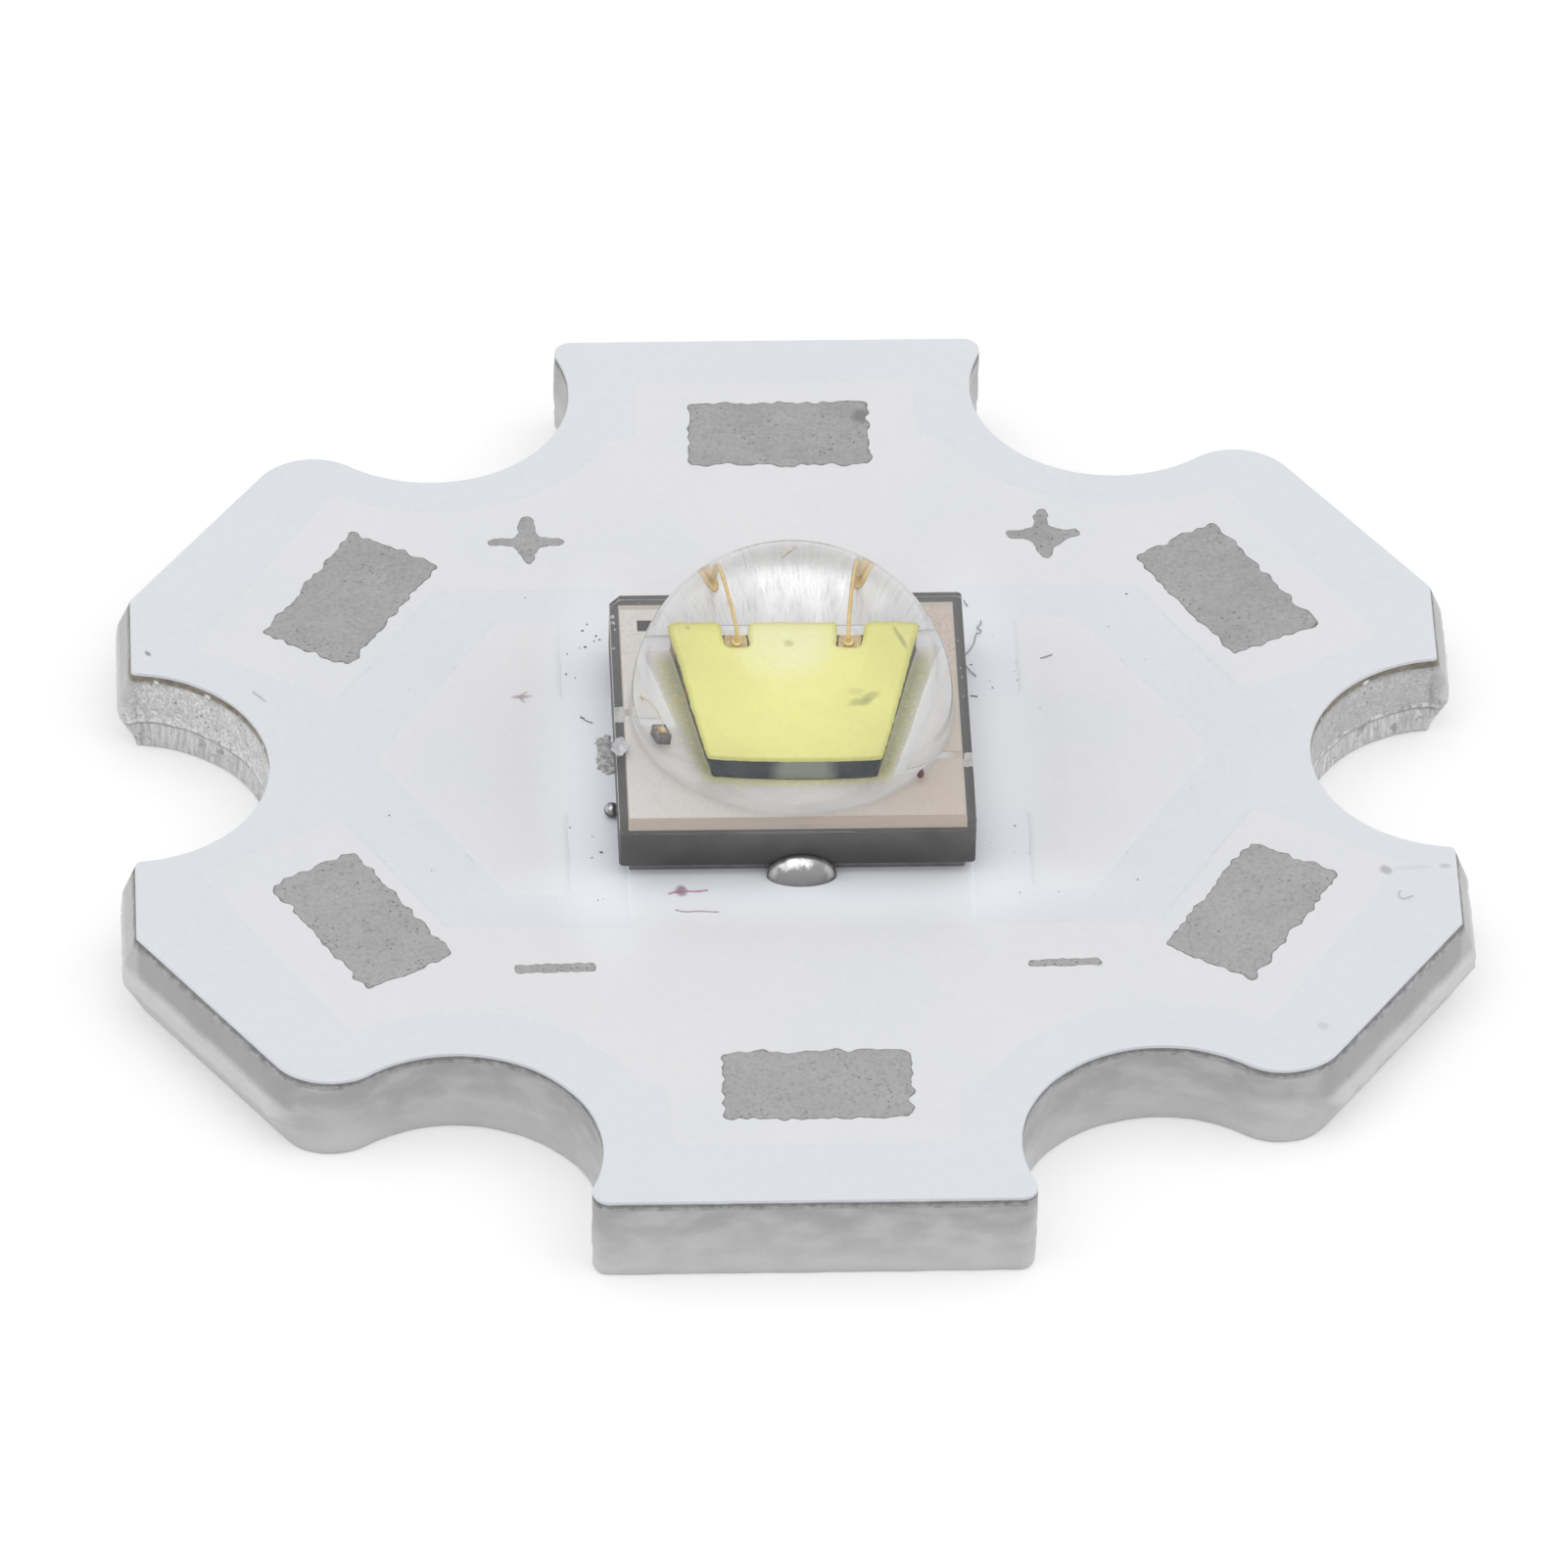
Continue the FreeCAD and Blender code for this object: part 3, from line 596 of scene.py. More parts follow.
def paint_phosphor(paint):
    """Yellow phosphor, fine grained, with a few marks from handling."""
    place = paint.place()
    y = paint.axes(place)[1]
    yellow = tone("phosphor")
    fine = paint.grain(place, 20.0, 4.0, 0.65)
    clouds = paint.grain(place, 1.5, 3.0)
    smear = (paint.grain(place, 6.0, 3.0, 0.6) - 0.5) * 2.0
    colour = paint.coats(
        paint.blend(clouds, 0.35, 0.65, yellow, shade(yellow, 1.05)),
        (paint.spot(place, -0.03, 0.78, 0.40, 0.42, 0, 1.0, clouds - 0.5) * 0.8, srgb(250, 249, 200)),
        (paint.fade(fine, 0.45, 0.7) * 0.25, shade(yellow, 0.88)),
        (paint.fade(y, 0.86, 0.98) * 0.25 + paint.attribute("rim") * 0.4, srgb(204, 202, 112)))
    for *ellipse, share in HANDLING:
        colour = paint.mix(paint.spot(place, *ellipse, 1.1, smear) * share, colour, srgb(166, 162, 112))
    paint.finish(Base_Color=colour, Roughness=0.65, Specular_IOR_Level=0.3,
                 Normal=paint.bump(fine, 0.006, 0.7))


def paint_die(paint):
    """Dark blue-grey die with sawn sides, pale in front, with two brown spots on its left side."""
    place = paint.place()
    dark = tone("die")
    sawn = paint.grain(place, (22.0, 22.0, 2.0), 3.0, 0.6)
    clouds = paint.grain(place, 2.4, 3.0)
    colour = paint.coats(
        paint.blend(clouds, 0.3, 0.7, shade(dark, 0.8), shade(dark, 1.5)),
        (paint.spot(place, 0.10, -0.98, 0.30, 0.5, 0, 0.7, clouds - 0.5) * 0.85, srgb(152, 160, 152)),
        (paint.spot(place, -0.98, 0.37, 0.10, 0.06) * 0.9, srgb(186, 104, 62)),
        (paint.spot(place, -0.97, 0.86, 0.12, 0.08) * 0.7, srgb(190, 150, 106)))
    paint.finish(Base_Color=colour, Metallic=0.1, Roughness=0.42, Normal=paint.bump(sawn, 0.01, 0.7))


def paint_chip(paint):
    """Pale grey protection chip, with painted shade at its foot."""
    place = paint.place()
    z = paint.axes(place)[2]
    fine = paint.grain(place, 20.0, 3.0)
    foot = paint.fade(z, node_top("protection_chip"), node_top("die_metal"))
    colour = paint.coats(
        paint.blend(fine, 0.3, 0.7, srgb(126, 124, 122), srgb(164, 162, 158)),
        # Painted shade at the foot, where the chip meets the metal.
        (foot * 0.6, srgb(96, 92, 96)))
    paint.finish(Base_Color=colour, Metallic=0.2, Roughness=0.45, Normal=paint.bump(fine, 0.006, 0.6))


def paint_bond_pad(paint):
    """Bond pad on the die: pale gold with a brighter gold rim."""
    fine = paint.grain(paint.place(), 22.0, 3.0)
    colour = paint.coats(
        paint.blend(fine, 0.3, 0.7, srgb(196, 176, 134), srgb(220, 206, 168)),
        (paint.fade(paint.attribute("rim"), 0.35, 0.9) * 0.8, srgb(232, 190, 104)))
    paint.finish(Base_Color=colour, Metallic=0.1, Roughness=0.4, Normal=paint.bump(fine, 0.004, 0.6))


def paint_metal(paint, colour, scale, depth):
    """Plain metal with a fine grain and soft clouds."""
    place = paint.place()
    fine = paint.grain(place, scale, 3.0, 0.6)
    clouds = paint.grain(place, scale / 9, 3.0)
    base = paint.blend(clouds, 0.3, 0.7, shade(colour, 0.88), shade(colour, 1.08))
    paint.finish(Base_Color=base, Metallic=1.0, Roughness=0.4 + (fine - 0.5) * 0.15,
                 Normal=paint.bump(fine, depth, 0.6))


def paint_copper(paint):
    """Etched copper foil."""
    paint_metal(paint, srgb(206, 132, 96), 18.0, 0.005)


def paint_joint(paint):
    """Dull solder between the lands and the terminals."""
    paint_metal(paint, tone("solder"), 9.0, 0.008)


def paint_gold(paint):
    """Drawn gold."""
    fine = paint.grain(paint.place(), 30.0, 3.0, 0.6)
    base = paint.blend(fine, 0.3, 0.7, shade(tone("gold"), 0.9), shade(tone("gold"), 1.08))
    paint.finish(Base_Color=base, Metallic=0.5, Roughness=0.35, Normal=paint.bump(fine, 0.002, 0.6))


def paint_solder(paint):
    """Bright solder whose colour is painted light set by which way it faces: painted highlights where it
    bulges towards the light, dark painted reflections on its flanks and underside, and painted shade on its
    back against the ceramic.
    """
    place = paint.place()
    facing = paint.node("NewGeometry", output=1)
    normal_x, normal_y, normal_z = paint.axes(facing)
    wrinkle = (paint.grain(place, 7.0, 3.0, 0.6) - 0.5) * 0.35
    highlight_facing = paint.vector("DOT_PRODUCT", facing, (-0.16, -0.56, 0.81), output=1) + wrinkle
    flank = abs(normal_x) + wrinkle
    sides = paint.fade(flank, 0.4, 0.58) * paint.fade(flank, 0.92, 0.75) * paint.fade(normal_z, 0.05, 0.3)
    # Painted light: highlights where the surface faces the light, dark painted reflections elsewhere,
    # painted shade at the back.
    colour = paint.coats(
        paint.blend(highlight_facing, 0.2, 0.75, srgb(84, 82, 82), srgb(150, 149, 149)),
        (sides * 0.7, srgb(206, 205, 204)),
        (paint.fade(highlight_facing, 0.88, 1.0), srgb(244, 244, 244)),
        (paint.fade(normal_y, -0.15, 0.25) * 0.6, srgb(90, 88, 88)))
    paint.finish(Base_Color=colour, Metallic=0.8, Roughness=0.3,
                 Normal=paint.bump(paint.grain(place, 9.0, 3.0), 0.008, 0.6))


def paint_flux(paint):
    """Crusty grey flux with darker grains."""
    fine = paint.grain(paint.place(), 14.0, 4.0, 0.7)
    colour = paint.coats(
        paint.blend(fine, 0.4, 0.6, srgb(158, 157, 158), srgb(212, 212, 214)),
        (paint.attribute("rim") * 0.3, srgb(140, 138, 140)))
    paint.finish(Base_Color=colour, Roughness=0.6, Normal=paint.bump(fine, 0.03, 0.9))


def paint_plain(paint, scale, dark, pale, metallic, rough, depth):
    """A small thing's finish: one grain between two colours."""
    fine = paint.grain(paint.place(), scale, 3.0)
    paint.finish(Base_Color=paint.blend(fine, 0.3, 0.7, srgb(*dark), srgb(*pale)), Metallic=metallic,
                 Roughness=rough, Normal=paint.bump(fine, depth, 0.6))


# Clouds in a millimetre, darkest and palest colour, metallic, roughness and relief in millimetres
PLAIN_FINISHES = {
    "fine_gold": (30.0, (214, 196, 156), (232, 216, 184), 0.3, 0.35, 0.002),
    "warm_gold": (26.0, (226, 150, 66), (246, 200, 122), 0.2, 0.4, 0.002),
    "mirror": (16.0, (226, 228, 232), (244, 245, 248), 0.0, 0.35, 0.002),
    "flake": (8.0, (204, 203, 202), (232, 232, 232), 0.0, 0.4, 0.02),
    "wax": (10.0, (180, 180, 184), (214, 214, 218), 0.0, 0.4, 0.02),
    "dust": (24.0, (96, 94, 96), (140, 137, 137), 0.0, 0.8, 0.001),
    "smudge": (24.0, (150, 138, 120), (206, 196, 178), 0.0, 0.6, 0.001),
    "speck": (20.0, (74, 48, 52), (122, 88, 86), 0.0, 0.6, 0.001),
    "fibre": (16.0, (176, 122, 156), (208, 170, 192), 0.0, 0.7, 0.001),
    "pale_fibre": (16.0, (188, 172, 180), (212, 204, 208), 0.0, 0.7, 0.001),
    "hair": (12.0, (112, 112, 116), (150, 150, 154), 0.0, 0.7, 0.001),
    "lint": (12.0, (164, 166, 170), (188, 190, 194), 0.0, 0.7, 0.001),
}

PAINTS = {
    "white_mask": paint_mask, "tin": paint_tin, "aluminium": paint_aluminium,
    "dielectric": paint_dielectric, "ceramic": paint_ceramic, "silicone": paint_silicone,
    "silver_metal": paint_plating, "phosphor": paint_phosphor, "die": paint_die,
    "chip": paint_chip, "bond_pad": paint_bond_pad, "copper": paint_copper, "gold": paint_gold,
    "solder": paint_solder, "joint": paint_joint, "flux": paint_flux,
}


def finish_named(name):
    """The material of a finish, made the first time it is asked for."""
    material = bpy.data.materials.get("led_" + name)
    if material is None:
        material = bpy.data.materials.new("led_" + name)
        paint = Paint(material)
        if name in PLAIN_FINISHES:
            paint_plain(paint, *PLAIN_FINISHES[name])
        else:
            PAINTS[name](paint)
    return material


# Outlines, as lists of flat points in millimetres, counter-clockwise

def flat(x, y):
    return Vector((x, y))


def flats(pairs):
    return [flat(x, y) for x, y in pairs]


def at_angle(radius, angle):
    """Point at a radius and an angle in radians from the X axis."""
    return flat(radius * math.cos(angle), radius * math.sin(angle))


def heading(vector):
    """Angle of a flat vector from the X axis."""
    return math.atan2(vector.y, vector.x)


def circle_turns(count):
    return [2 * math.pi * i / count for i in range(count)]


def spread(low, high, count):
    """Even steps from low to high, both among them."""
    return [low + (high - low) * i / (count - 1) for i in range(count)]


def turned(point, angle):
    """Point turned about the middle of the board by an angle in radians."""
    cos, sin = math.cos(angle), math.sin(angle)
    return flat(point.x * cos - point.y * sin, point.x * sin + point.y * cos)


def sides(outline):
    """Each point of a closed outline with the ones before and after it."""
    return zip(outline[-1:] + outline[:-1], outline, outline[1:] + outline[:1])


def mitre(before, point, after):
    """How a corner moves when both its edges move outwards by one."""
    into = (point - before).normalized()
    away = (after - point).normalized()
    first, second = flat(into.y, -into.x), flat(away.y, -away.x)
    return (first + second) / max(1 + first.dot(second), 0.3)


def grown(outline, distance):
    """A closed outline moved outwards by a distance."""
    return [point + mitre(before, point, after) * distance for before, point, after in sides(outline)]


def eased(outline, times):
    """A closed outline with its fine waves smoothed away."""
    for _ in range(times):
        outline = [(before + point * 2 + after) / 4 for before, point, after in sides(outline)]
    return outline


# Half angle in radians from which a corner is left as it is
NEARLY_STRAIGHT = 1.45
ROUNDING_STEPS = 5
PATH_STEPS = 8


def rounded(corners, radius):
    """Closed outline through corners, each rounded where it turns enough to need it."""
    outline = []
    for before, corner, after in sides(corners):
        back, ahead = before - corner, after - corner
        half = back.angle(ahead) / 2
        if half > NEARLY_STRAIGHT:
            outline.append(corner)
            continue
        reach = min(radius / math.tan(half), 0.45 * min(back.length, ahead.length))
        start = corner + back.normalized() * reach
        end = corner + ahead.normalized() * reach
        for t in spread(0, 1, ROUNDING_STEPS + 1):
            outline.append(start * (1 - t) ** 2 + corner * (2 * t * (1 - t)) + end * t ** 2)
    return outline


def resampled(outline, step):
    """A closed outline with points at even distances."""
    lengths = [(after - point).length for _, point, after in sides(outline)]
    count = max(8, round(sum(lengths) / step))
    gap = sum(lengths) / count
    points, walked, i = [], 0.0, 0
    for k in range(count):
        while walked + lengths[i] < k * gap:
            walked += lengths[i]
            i += 1
        share = (k * gap - walked) / lengths[i]
        points.append(outline[i].lerp(outline[(i + 1) % len(outline)], share))
    return points


def ragged(outline, amount, pitch, seed):
    """A closed outline with the uneven edge that a coarse screen print leaves."""
    even = resampled(outline, pitch / 5)
    result = []
    for before, point, after in sides(even):
        wide = noise.noise(Vector((point.x / pitch, point.y / pitch, seed)))
        fine = noise.noise(Vector((point.x / pitch * 2.3, point.y / pitch * 2.3, seed + 40.0)))
        result.append(point + mitre(before, point, after) * amount * (1.5 * wide + 0.6 * fine))
    return result


def rectangle(width, height, radius, centre, turn=0.0):
    """Rounded rectangle; turn is in degrees."""
    corners = [flat(sx * width / 2, sy * height / 2) for sx, sy in ((-1, -1), (1, -1), (1, 1), (-1, 1))]
    return [turned(p, math.radians(turn)) + centre for p in rounded(corners, radius)]


def smooth_path(points):
    """Points on a smooth curve through the given ones."""
    ends = [points[0] * 2 - points[1]] + points + [points[-1] * 2 - points[-2]]
    path = []
    for a, b, c, d in zip(ends, ends[1:], ends[2:], ends[3:]):
        for t in spread(0, 1, PATH_STEPS + 1)[:-1]:
            path.append((b * 2 + (c - a) * t + (a * 2 - b * 5 + c * 4 - d) * t ** 2
                         + (b * 3 - a - c * 3 + d) * t ** 3) / 2)
    return path + [points[-1]]


# Meshes

def placed(name, data):
    """New object in the scene."""
    obj = bpy.data.objects.new(name, data)
    bpy.context.scene.collection.objects.link(obj)
    return obj


class Shape:
    """Points in millimetres and the faces between them.

    A point also has a tag, a share from 0 to 1 that a finish can read as an attribute.
    """

    def __init__(self):
        self.points = []
        self.tags = []
        self.faces = []

    def point(self, place, tag=0.0):
        self.points.append(Vector(place))
        self.tags.append(tag)
        return len(self.points) - 1

    def ring(self, outline, height, tag=0.0):
        """Adds an outline; its height and its tag are one number or a list of them."""
        heights = height if isinstance(height, list) else [height] * len(outline)
        tags = tag if isinstance(tag, list) else [tag] * len(outline)
        return [self.point((p.x, p.y, z), t) for p, z, t in zip(outline, heights, tags)]

    def walls(self, rings):
        """Faces between rings of as many points each, lowest first, seen from outside."""
        for low, high in zip(rings, rings[1:]):
            for i in range(len(low)):
                j = (i + 1) % len(low)
                self.faces.append((low[i], low[j], high[j], high[i]))

    def cap(self, ring, up=True):
        """Faces that close a ring of any outline."""
        for triangle in tessellate_polygon([[self.points[i] for i in ring]]):
            corners = [ring[i] for i in triangle]
            a, b, c = (self.points[i] for i in corners)
            if ((b - a).cross(c - a).z > 0) != up:
                corners.reverse()
            self.faces.append(corners)

    def closed(self, rings):
        """Walls through rings, lowest first, with a flat face at each end."""
        self.walls(rings)
        self.cap(rings[-1], True)
        self.cap(rings[0], False)

    def fan(self, ring, tip, up=True):
        """Faces from a ring to a single point."""
        last = self.point(tip)
        for i, j in zip(ring, ring[1:] + ring[:1]):
            self.faces.append((i, j, last) if up else (j, i, last))

    def plate(self, outline, low, high, edge, rim=0.02, ease=0):
        """Flat plate with a rounded upper edge, tagged 1 at the edge and 0 inside the rim."""
        rings = [self.ring(outline, low, 1.0)]
        for turn in spread(0, math.pi / 2, 4):
            rings.append(self.ring(grown(outline, -edge * (1 - math.cos(turn))),
                                   high - edge * (1 - math.sin(turn)), 1.0))
        rings.append(self.ring(grown(eased(outline, ease), -edge - rim), high))
        self.closed(rings)

    def ball(self, centre, radius, squash, steps, stretch=(1.0, 1.0)):
        """Ball round a centre, squashed along Z and stretched along X and Y."""
        rings = []
        for turn in spread(0, math.pi, 13)[1:-1]:
            level = radius * math.sin(turn)
            circle = [flat(centre.x + level * stretch[0] * math.cos(around),
                           centre.y + level * stretch[1] * math.sin(around))
                      for around in circle_turns(steps)]
            rings.append(self.ring(circle, centre.z - radius * squash * math.cos(turn)))
        self.walls(rings)
        self.fan(rings[0], (centre.x, centre.y, centre.z - radius * squash), False)
        self.fan(rings[-1], (centre.x, centre.y, centre.z + radius * squash), True)

    def tube(self, path, radius, steps=10):
        """Round wire along a smooth path, closed at both ends."""
        rings = []
        side = (path[1] - path[0]).normalized().orthogonal()
        for i, point in enumerate(path):
            ahead = (path[min(i + 1, len(path) - 1)] - path[max(i - 1, 0)]).normalized()
            side = (side - ahead * side.dot(ahead)).normalized()
            other = ahead.cross(side)
            rings.append([self.point(point + (side * math.cos(t) + other * math.sin(t)) * radius)
                          for t in circle_turns(steps)])
        self.walls(rings)
        self.fan(rings[0], path[0], False)
        self.fan(rings[-1], path[-1], True)

    def piece(self, name, finish, stands_for=(), smooth=60, layer=None):
        """Mesh object on the board, with its finish and the nodes that it stands for."""
        mesh = bpy.data.meshes.new(name)
        mesh.from_pydata([point * MM for point in self.points], [], self.faces)
        mesh.materials.append(finish_named(finish))
        if layer:
            mesh.attributes.new(layer, "FLOAT", "POINT").data.foreach_set("value", self.tags)
        mesh.shade_smooth()
        mesh.set_sharp_from_angle(angle=math.radians(smooth))
        mesh.validate()
        obj = placed(name, mesh)
        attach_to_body(obj, "root")
        if stands_for:
            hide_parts(*stands_for)


# Board outline

class EdgePoint:
    """Point on the board's top outline, which way its wall moves, and how far it is scored."""

    def __init__(self, place, outward, scored=0.0):
        self.place = place
        self.outward = outward
        self.scored = scored

    def mirrored(self, x, y):
        return EdgePoint(flat(self.place.x * x, self.place.y * y),
                         flat(self.outward.x * x, self.outward.y * y), self.scored)

    def moved(self, distance):
        """Place at a distance outside the outline."""
        return self.place + self.outward * distance


def corner_centre(angle, distance, notch, notch_radius, radius, side):
    """Centre of the arc that rounds the corner between a straight edge and a notch."""
    normal = at_angle(1, angle)
    along = flat(-normal.y, normal.x)
    gap = normal.dot(notch) - (distance - radius)
    reach = math.sqrt((notch_radius + radius) ** 2 - gap ** 2)
    return normal * (distance - radius) + along * (along.dot(notch) + side * reach)


def swept(centre, radius, start, end, step, outward, scored=lambda walked: 0.0):
    """Edge points on an arc; outward is +1 where the wall faces away from the centre."""
    count = max(3, round(abs(end - start) * radius / step))
    points = []
    for i in range(count):
        share = i / count
        ray = at_angle(1, start + (end - start) * share)
        points.append(EdgePoint(centre + ray * radius, ray * outward,
                                scored(abs(end - start) * radius * share)))
    return points


def straight(start, end, outward, step, scored):
    """Edge points on a straight stretch, without its end."""
    count = max(1, round((end - start).length / step))
    return [EdgePoint(start.lerp(end, i / count), outward, scored) for i in range(count)]


SIDE_CORNER = 0.08
ARM_CORNER = 0.25
# How far along the outline the groove takes to set in and to die away
GROOVE_START = 0.1
GROOVE_END = 0.62


def groove_start(walked):
    """How much of the groove there is at a distance along the side edge's small corner."""
    return min(1.0, walked / GROOVE_START)


def groove_end(walked):
    """How much of the groove is left at a distance along the shoulder's arc."""
    t = min(1.0, walked / GROOVE_END)
    return 1 - t * t * (3 - 2 * t)


def quarter_edge(sizes):
    """Edge points from the right-hand notch round to the middle of the far edge."""
    side, end = sizes.side_distance / MM, sizes.end_distance / MM
    diagonal, angle = sizes.diagonal_distance / MM, sizes.diagonal_angle
    step = sizes.step / MM
    side_notch = flat(sizes.side_notch_centre / MM, 0)
    end_notch = at_angle(sizes.end_notch_centre / MM, sizes.end_notch_angle)
    side_radius, end_radius = sizes.side_notch_radius / MM, sizes.end_notch_radius / MM
    shoulder = sizes.shoulder_radius / MM
    side_arc = corner_centre(0, side, side_notch, side_radius, SIDE_CORNER, 1)
    shoulder_arc = corner_centre(angle, diagonal, end_notch, end_radius, shoulder, -1)
    arm_arc = corner_centre(math.pi / 2, end, end_notch, end_radius, ARM_CORNER, 1)
    normal = at_angle(1, angle)
    crossing = flat(side, (diagonal - side * normal.x) / normal.y)
    bisector = (flat(1, 0) + normal) / (1 + normal.x)
    edge = swept(side_notch, side_radius, math.pi, heading(side_arc - side_notch), step, -1)
    edge += swept(side_arc, SIDE_CORNER, heading(side_notch - side_arc), 0, 0.02, 1, groove_start)
    edge += straight(side_arc + flat(SIDE_CORNER, 0), crossing, flat(1, 0), step, 1.0)
    edge += [EdgePoint(crossing, bisector, 1.0)]
    edge += straight(crossing, shoulder_arc + normal * shoulder, normal, step, 1.0)[1:]
    edge += swept(shoulder_arc, shoulder, angle, heading(end_notch - shoulder_arc),
                  step * 0.7, 1, groove_end)
    edge += swept(end_notch, end_radius, heading(shoulder_arc - end_notch) + 2 * math.pi,
                  heading(arm_arc - end_notch), step, -1)
    edge += swept(arm_arc, ARM_CORNER, heading(end_notch - arm_arc), math.pi / 2, 0.03, 1)
    edge += straight(arm_arc + flat(0, ARM_CORNER), flat(0, end), flat(0, 1), step, 0.0)
    return edge + [EdgePoint(flat(0, end), flat(0, 1))]


def board_edge(sizes):
    """Edge points all round the board, counter-clockwise from the right-hand notch."""
    quarter = quarter_edge(sizes)
    upper = quarter + [p.mirrored(-1, 1) for p in reversed(quarter[1:-1])]
    middle = [quarter[0].mirrored(-1, 1)]
    lower = [p.mirrored(-1, -1) for p in quarter[1:]]
    lower += [p.mirrored(1, -1) for p in reversed(quarter[1:-1])]
    return upper + middle + lower


# Depths below the mask's top, in millimetres
UPPER_GROOVE_FOOT = 0.58
WEB_FOOT = 0.815
TORN_WEB = (0.56, 0.83)
LOWER_GROOVE_DEPTH = 0.56
LOWER_GROOVE_SETBACK = 0.08
TEAR_START = 0.93
BOTTOM_ROUNDING = 1.30


def wall_reach(depth, point, flare):
    """How far the wall stands out from the top outline at a depth below the mask's top."""
    if depth < UPPER_GROOVE_FOOT:
        scored = flare * depth / UPPER_GROOVE_FOOT
    elif depth < WEB_FOOT:
        scored = flare
    else:
        scored = flare - (flare + LOWER_GROOVE_SETBACK) * (depth - WEB_FOOT) / LOWER_GROOVE_DEPTH
    place = Vector((point.place.x, point.place.y, depth * 1.5))
    if TORN_WEB[0] < depth < TORN_WEB[1]:
        scored += noise.noise(place * 5.0) * 0.03 + noise.noise(place * 16.0) * 0.012
    rolled = -0.022 * max(0.0, 1 - depth / 0.06) ** 2
    torn = -0.014 * min(1.0, max(0.0, (depth - TEAR_START) / 0.05))
    torn -= 0.03 * max(0.0, (depth - BOTTOM_ROUNDING) / 0.075) ** 2
    rough = (noise.noise(place * 2.6) * 0.012 + noise.noise(place * 9.0) * 0.006) * min(1.0, depth / 0.1)
    reach = point.scored * (scored - 0.01) + (1 - point.scored) * (rolled + torn + rough - 0.006)
    return min(reach, flare)


def wall_rings(shape, edge, heights, sizes):
    """Rings of the board's wall at heights, lowest first, tagged by how far it is scored."""
    top, flare = node_top("solder_mask"), sizes.score_flare / MM
    scored = [p.scored for p in edge]
    return [shape.ring([p.moved(wall_reach(top - height, p, flare)) for p in edge], height, scored)
            for height in heights]


# Board pieces

# Heights at which the core's wall changes direction
WALL_BREAKS = [0.03, 0.555, 0.562, 0.793]


def build_core(sizes):
    """Aluminium core, with a ring of points at each break of its wall."""
    heights = sorted(spread(0.0, node_top("aluminium_core"), 19) + WALL_BREAKS)
    shape = Shape()
    shape.closed(wall_rings(shape, board_edge(sizes), heights, sizes))
    shape.piece("punched_core", "aluminium", ["aluminium_core"], 50, "scored")


def build_resin(sizes):
    """Dielectric layer."""
    heights = spread(node_top("aluminium_core"), node_top("dielectric_layer"), 4)
    shape = Shape()
    shape.closed(wall_rings(shape, board_edge(sizes), heights, sizes))
    shape.piece("resin_layer", "dielectric", ["dielectric_layer"], 50)


COPPER_CORNER = 0.12
COPPER_SHIFT = (0.05, 0.11)
WING_TURN = math.radians(31.0)
NOTCH_CLEARANCE = 0.8
WIRING_EDGE_Y = 3.67


def crossing_on_circle(start, end, centre, radius, last):
    """Where a line crosses a circle, the first or the last time."""
    along = (end - start).normalized()
    nearest = along.dot(centre - start)
    height = (centre - start - along * nearest).length
    half = math.sqrt(radius ** 2 - height ** 2)
    return start + along * (nearest + half if last else nearest - half)


def wiring_outline(sizes):
    """Copper area that joins the three far pads, before its small shift."""
    outer, inner, far, near = 8.46, 6.17, 1.645, -2.205
    notch = at_angle(sizes.end_notch_centre / MM, sizes.end_notch_angle)
    clearance = sizes.end_notch_radius / MM + NOTCH_CLEARANCE
    shoulder = flat(2.0, 7.05)
    tip, low_tip, foot, upper = (turned(p, WING_TURN) for p in flats(
        ((outer, far), (outer, near), (inner, near), (inner, far))))
    start = crossing_on_circle(shoulder, tip, notch, clearance, False)
    end = crossing_on_circle(shoulder, tip, notch, clearance, True)
    first, last = heading(start - notch) + 2 * math.pi, heading(end - notch) + 2 * math.pi
    round_notch = [notch + at_angle(clearance, angle) for angle in spread(first, last, 27)[1:-1]]
    meeting = foot.lerp(upper, (WIRING_EDGE_Y - foot.y) / (upper.y - foot.y))
    right = [flat(1.975, 8.24), shoulder, start] + round_notch
    right += [end, tip, low_tip, foot, meeting, flat(2.39, WIRING_EDGE_Y), flat(2.39, 1.8)]
    left = [flat(-p.x, p.y) for p in reversed(right)]
    return list(reversed(right + left))


def thermal_outline():
    """Copper lobes at the package's sides with the neck between them, before their shift."""
    right = flats(((3.28, -1.24), (3.28, -2.92), (4.1, -2.92), (5.86, 0.0),
                   (4.1, 2.92), (3.28, 2.92), (3.28, 1.24)))
    return right + [flat(-p.x, p.y) for p in reversed(right)]


# Slope of the mask over a copper area's edge: distance out from the edge, height and tag
# Heights of its foot are over the low mask, those of its crest over the high one
COPPER_FOOT = ((0.055, -0.004, 0.0), (0.04, 0.001, 0.15), (0.012, 0.009, 0.5))
COPPER_CREST = ((-0.012, -0.002, 0.9), (-0.04, 0.0, 1.0), (-0.07, 0.0, 1.0))


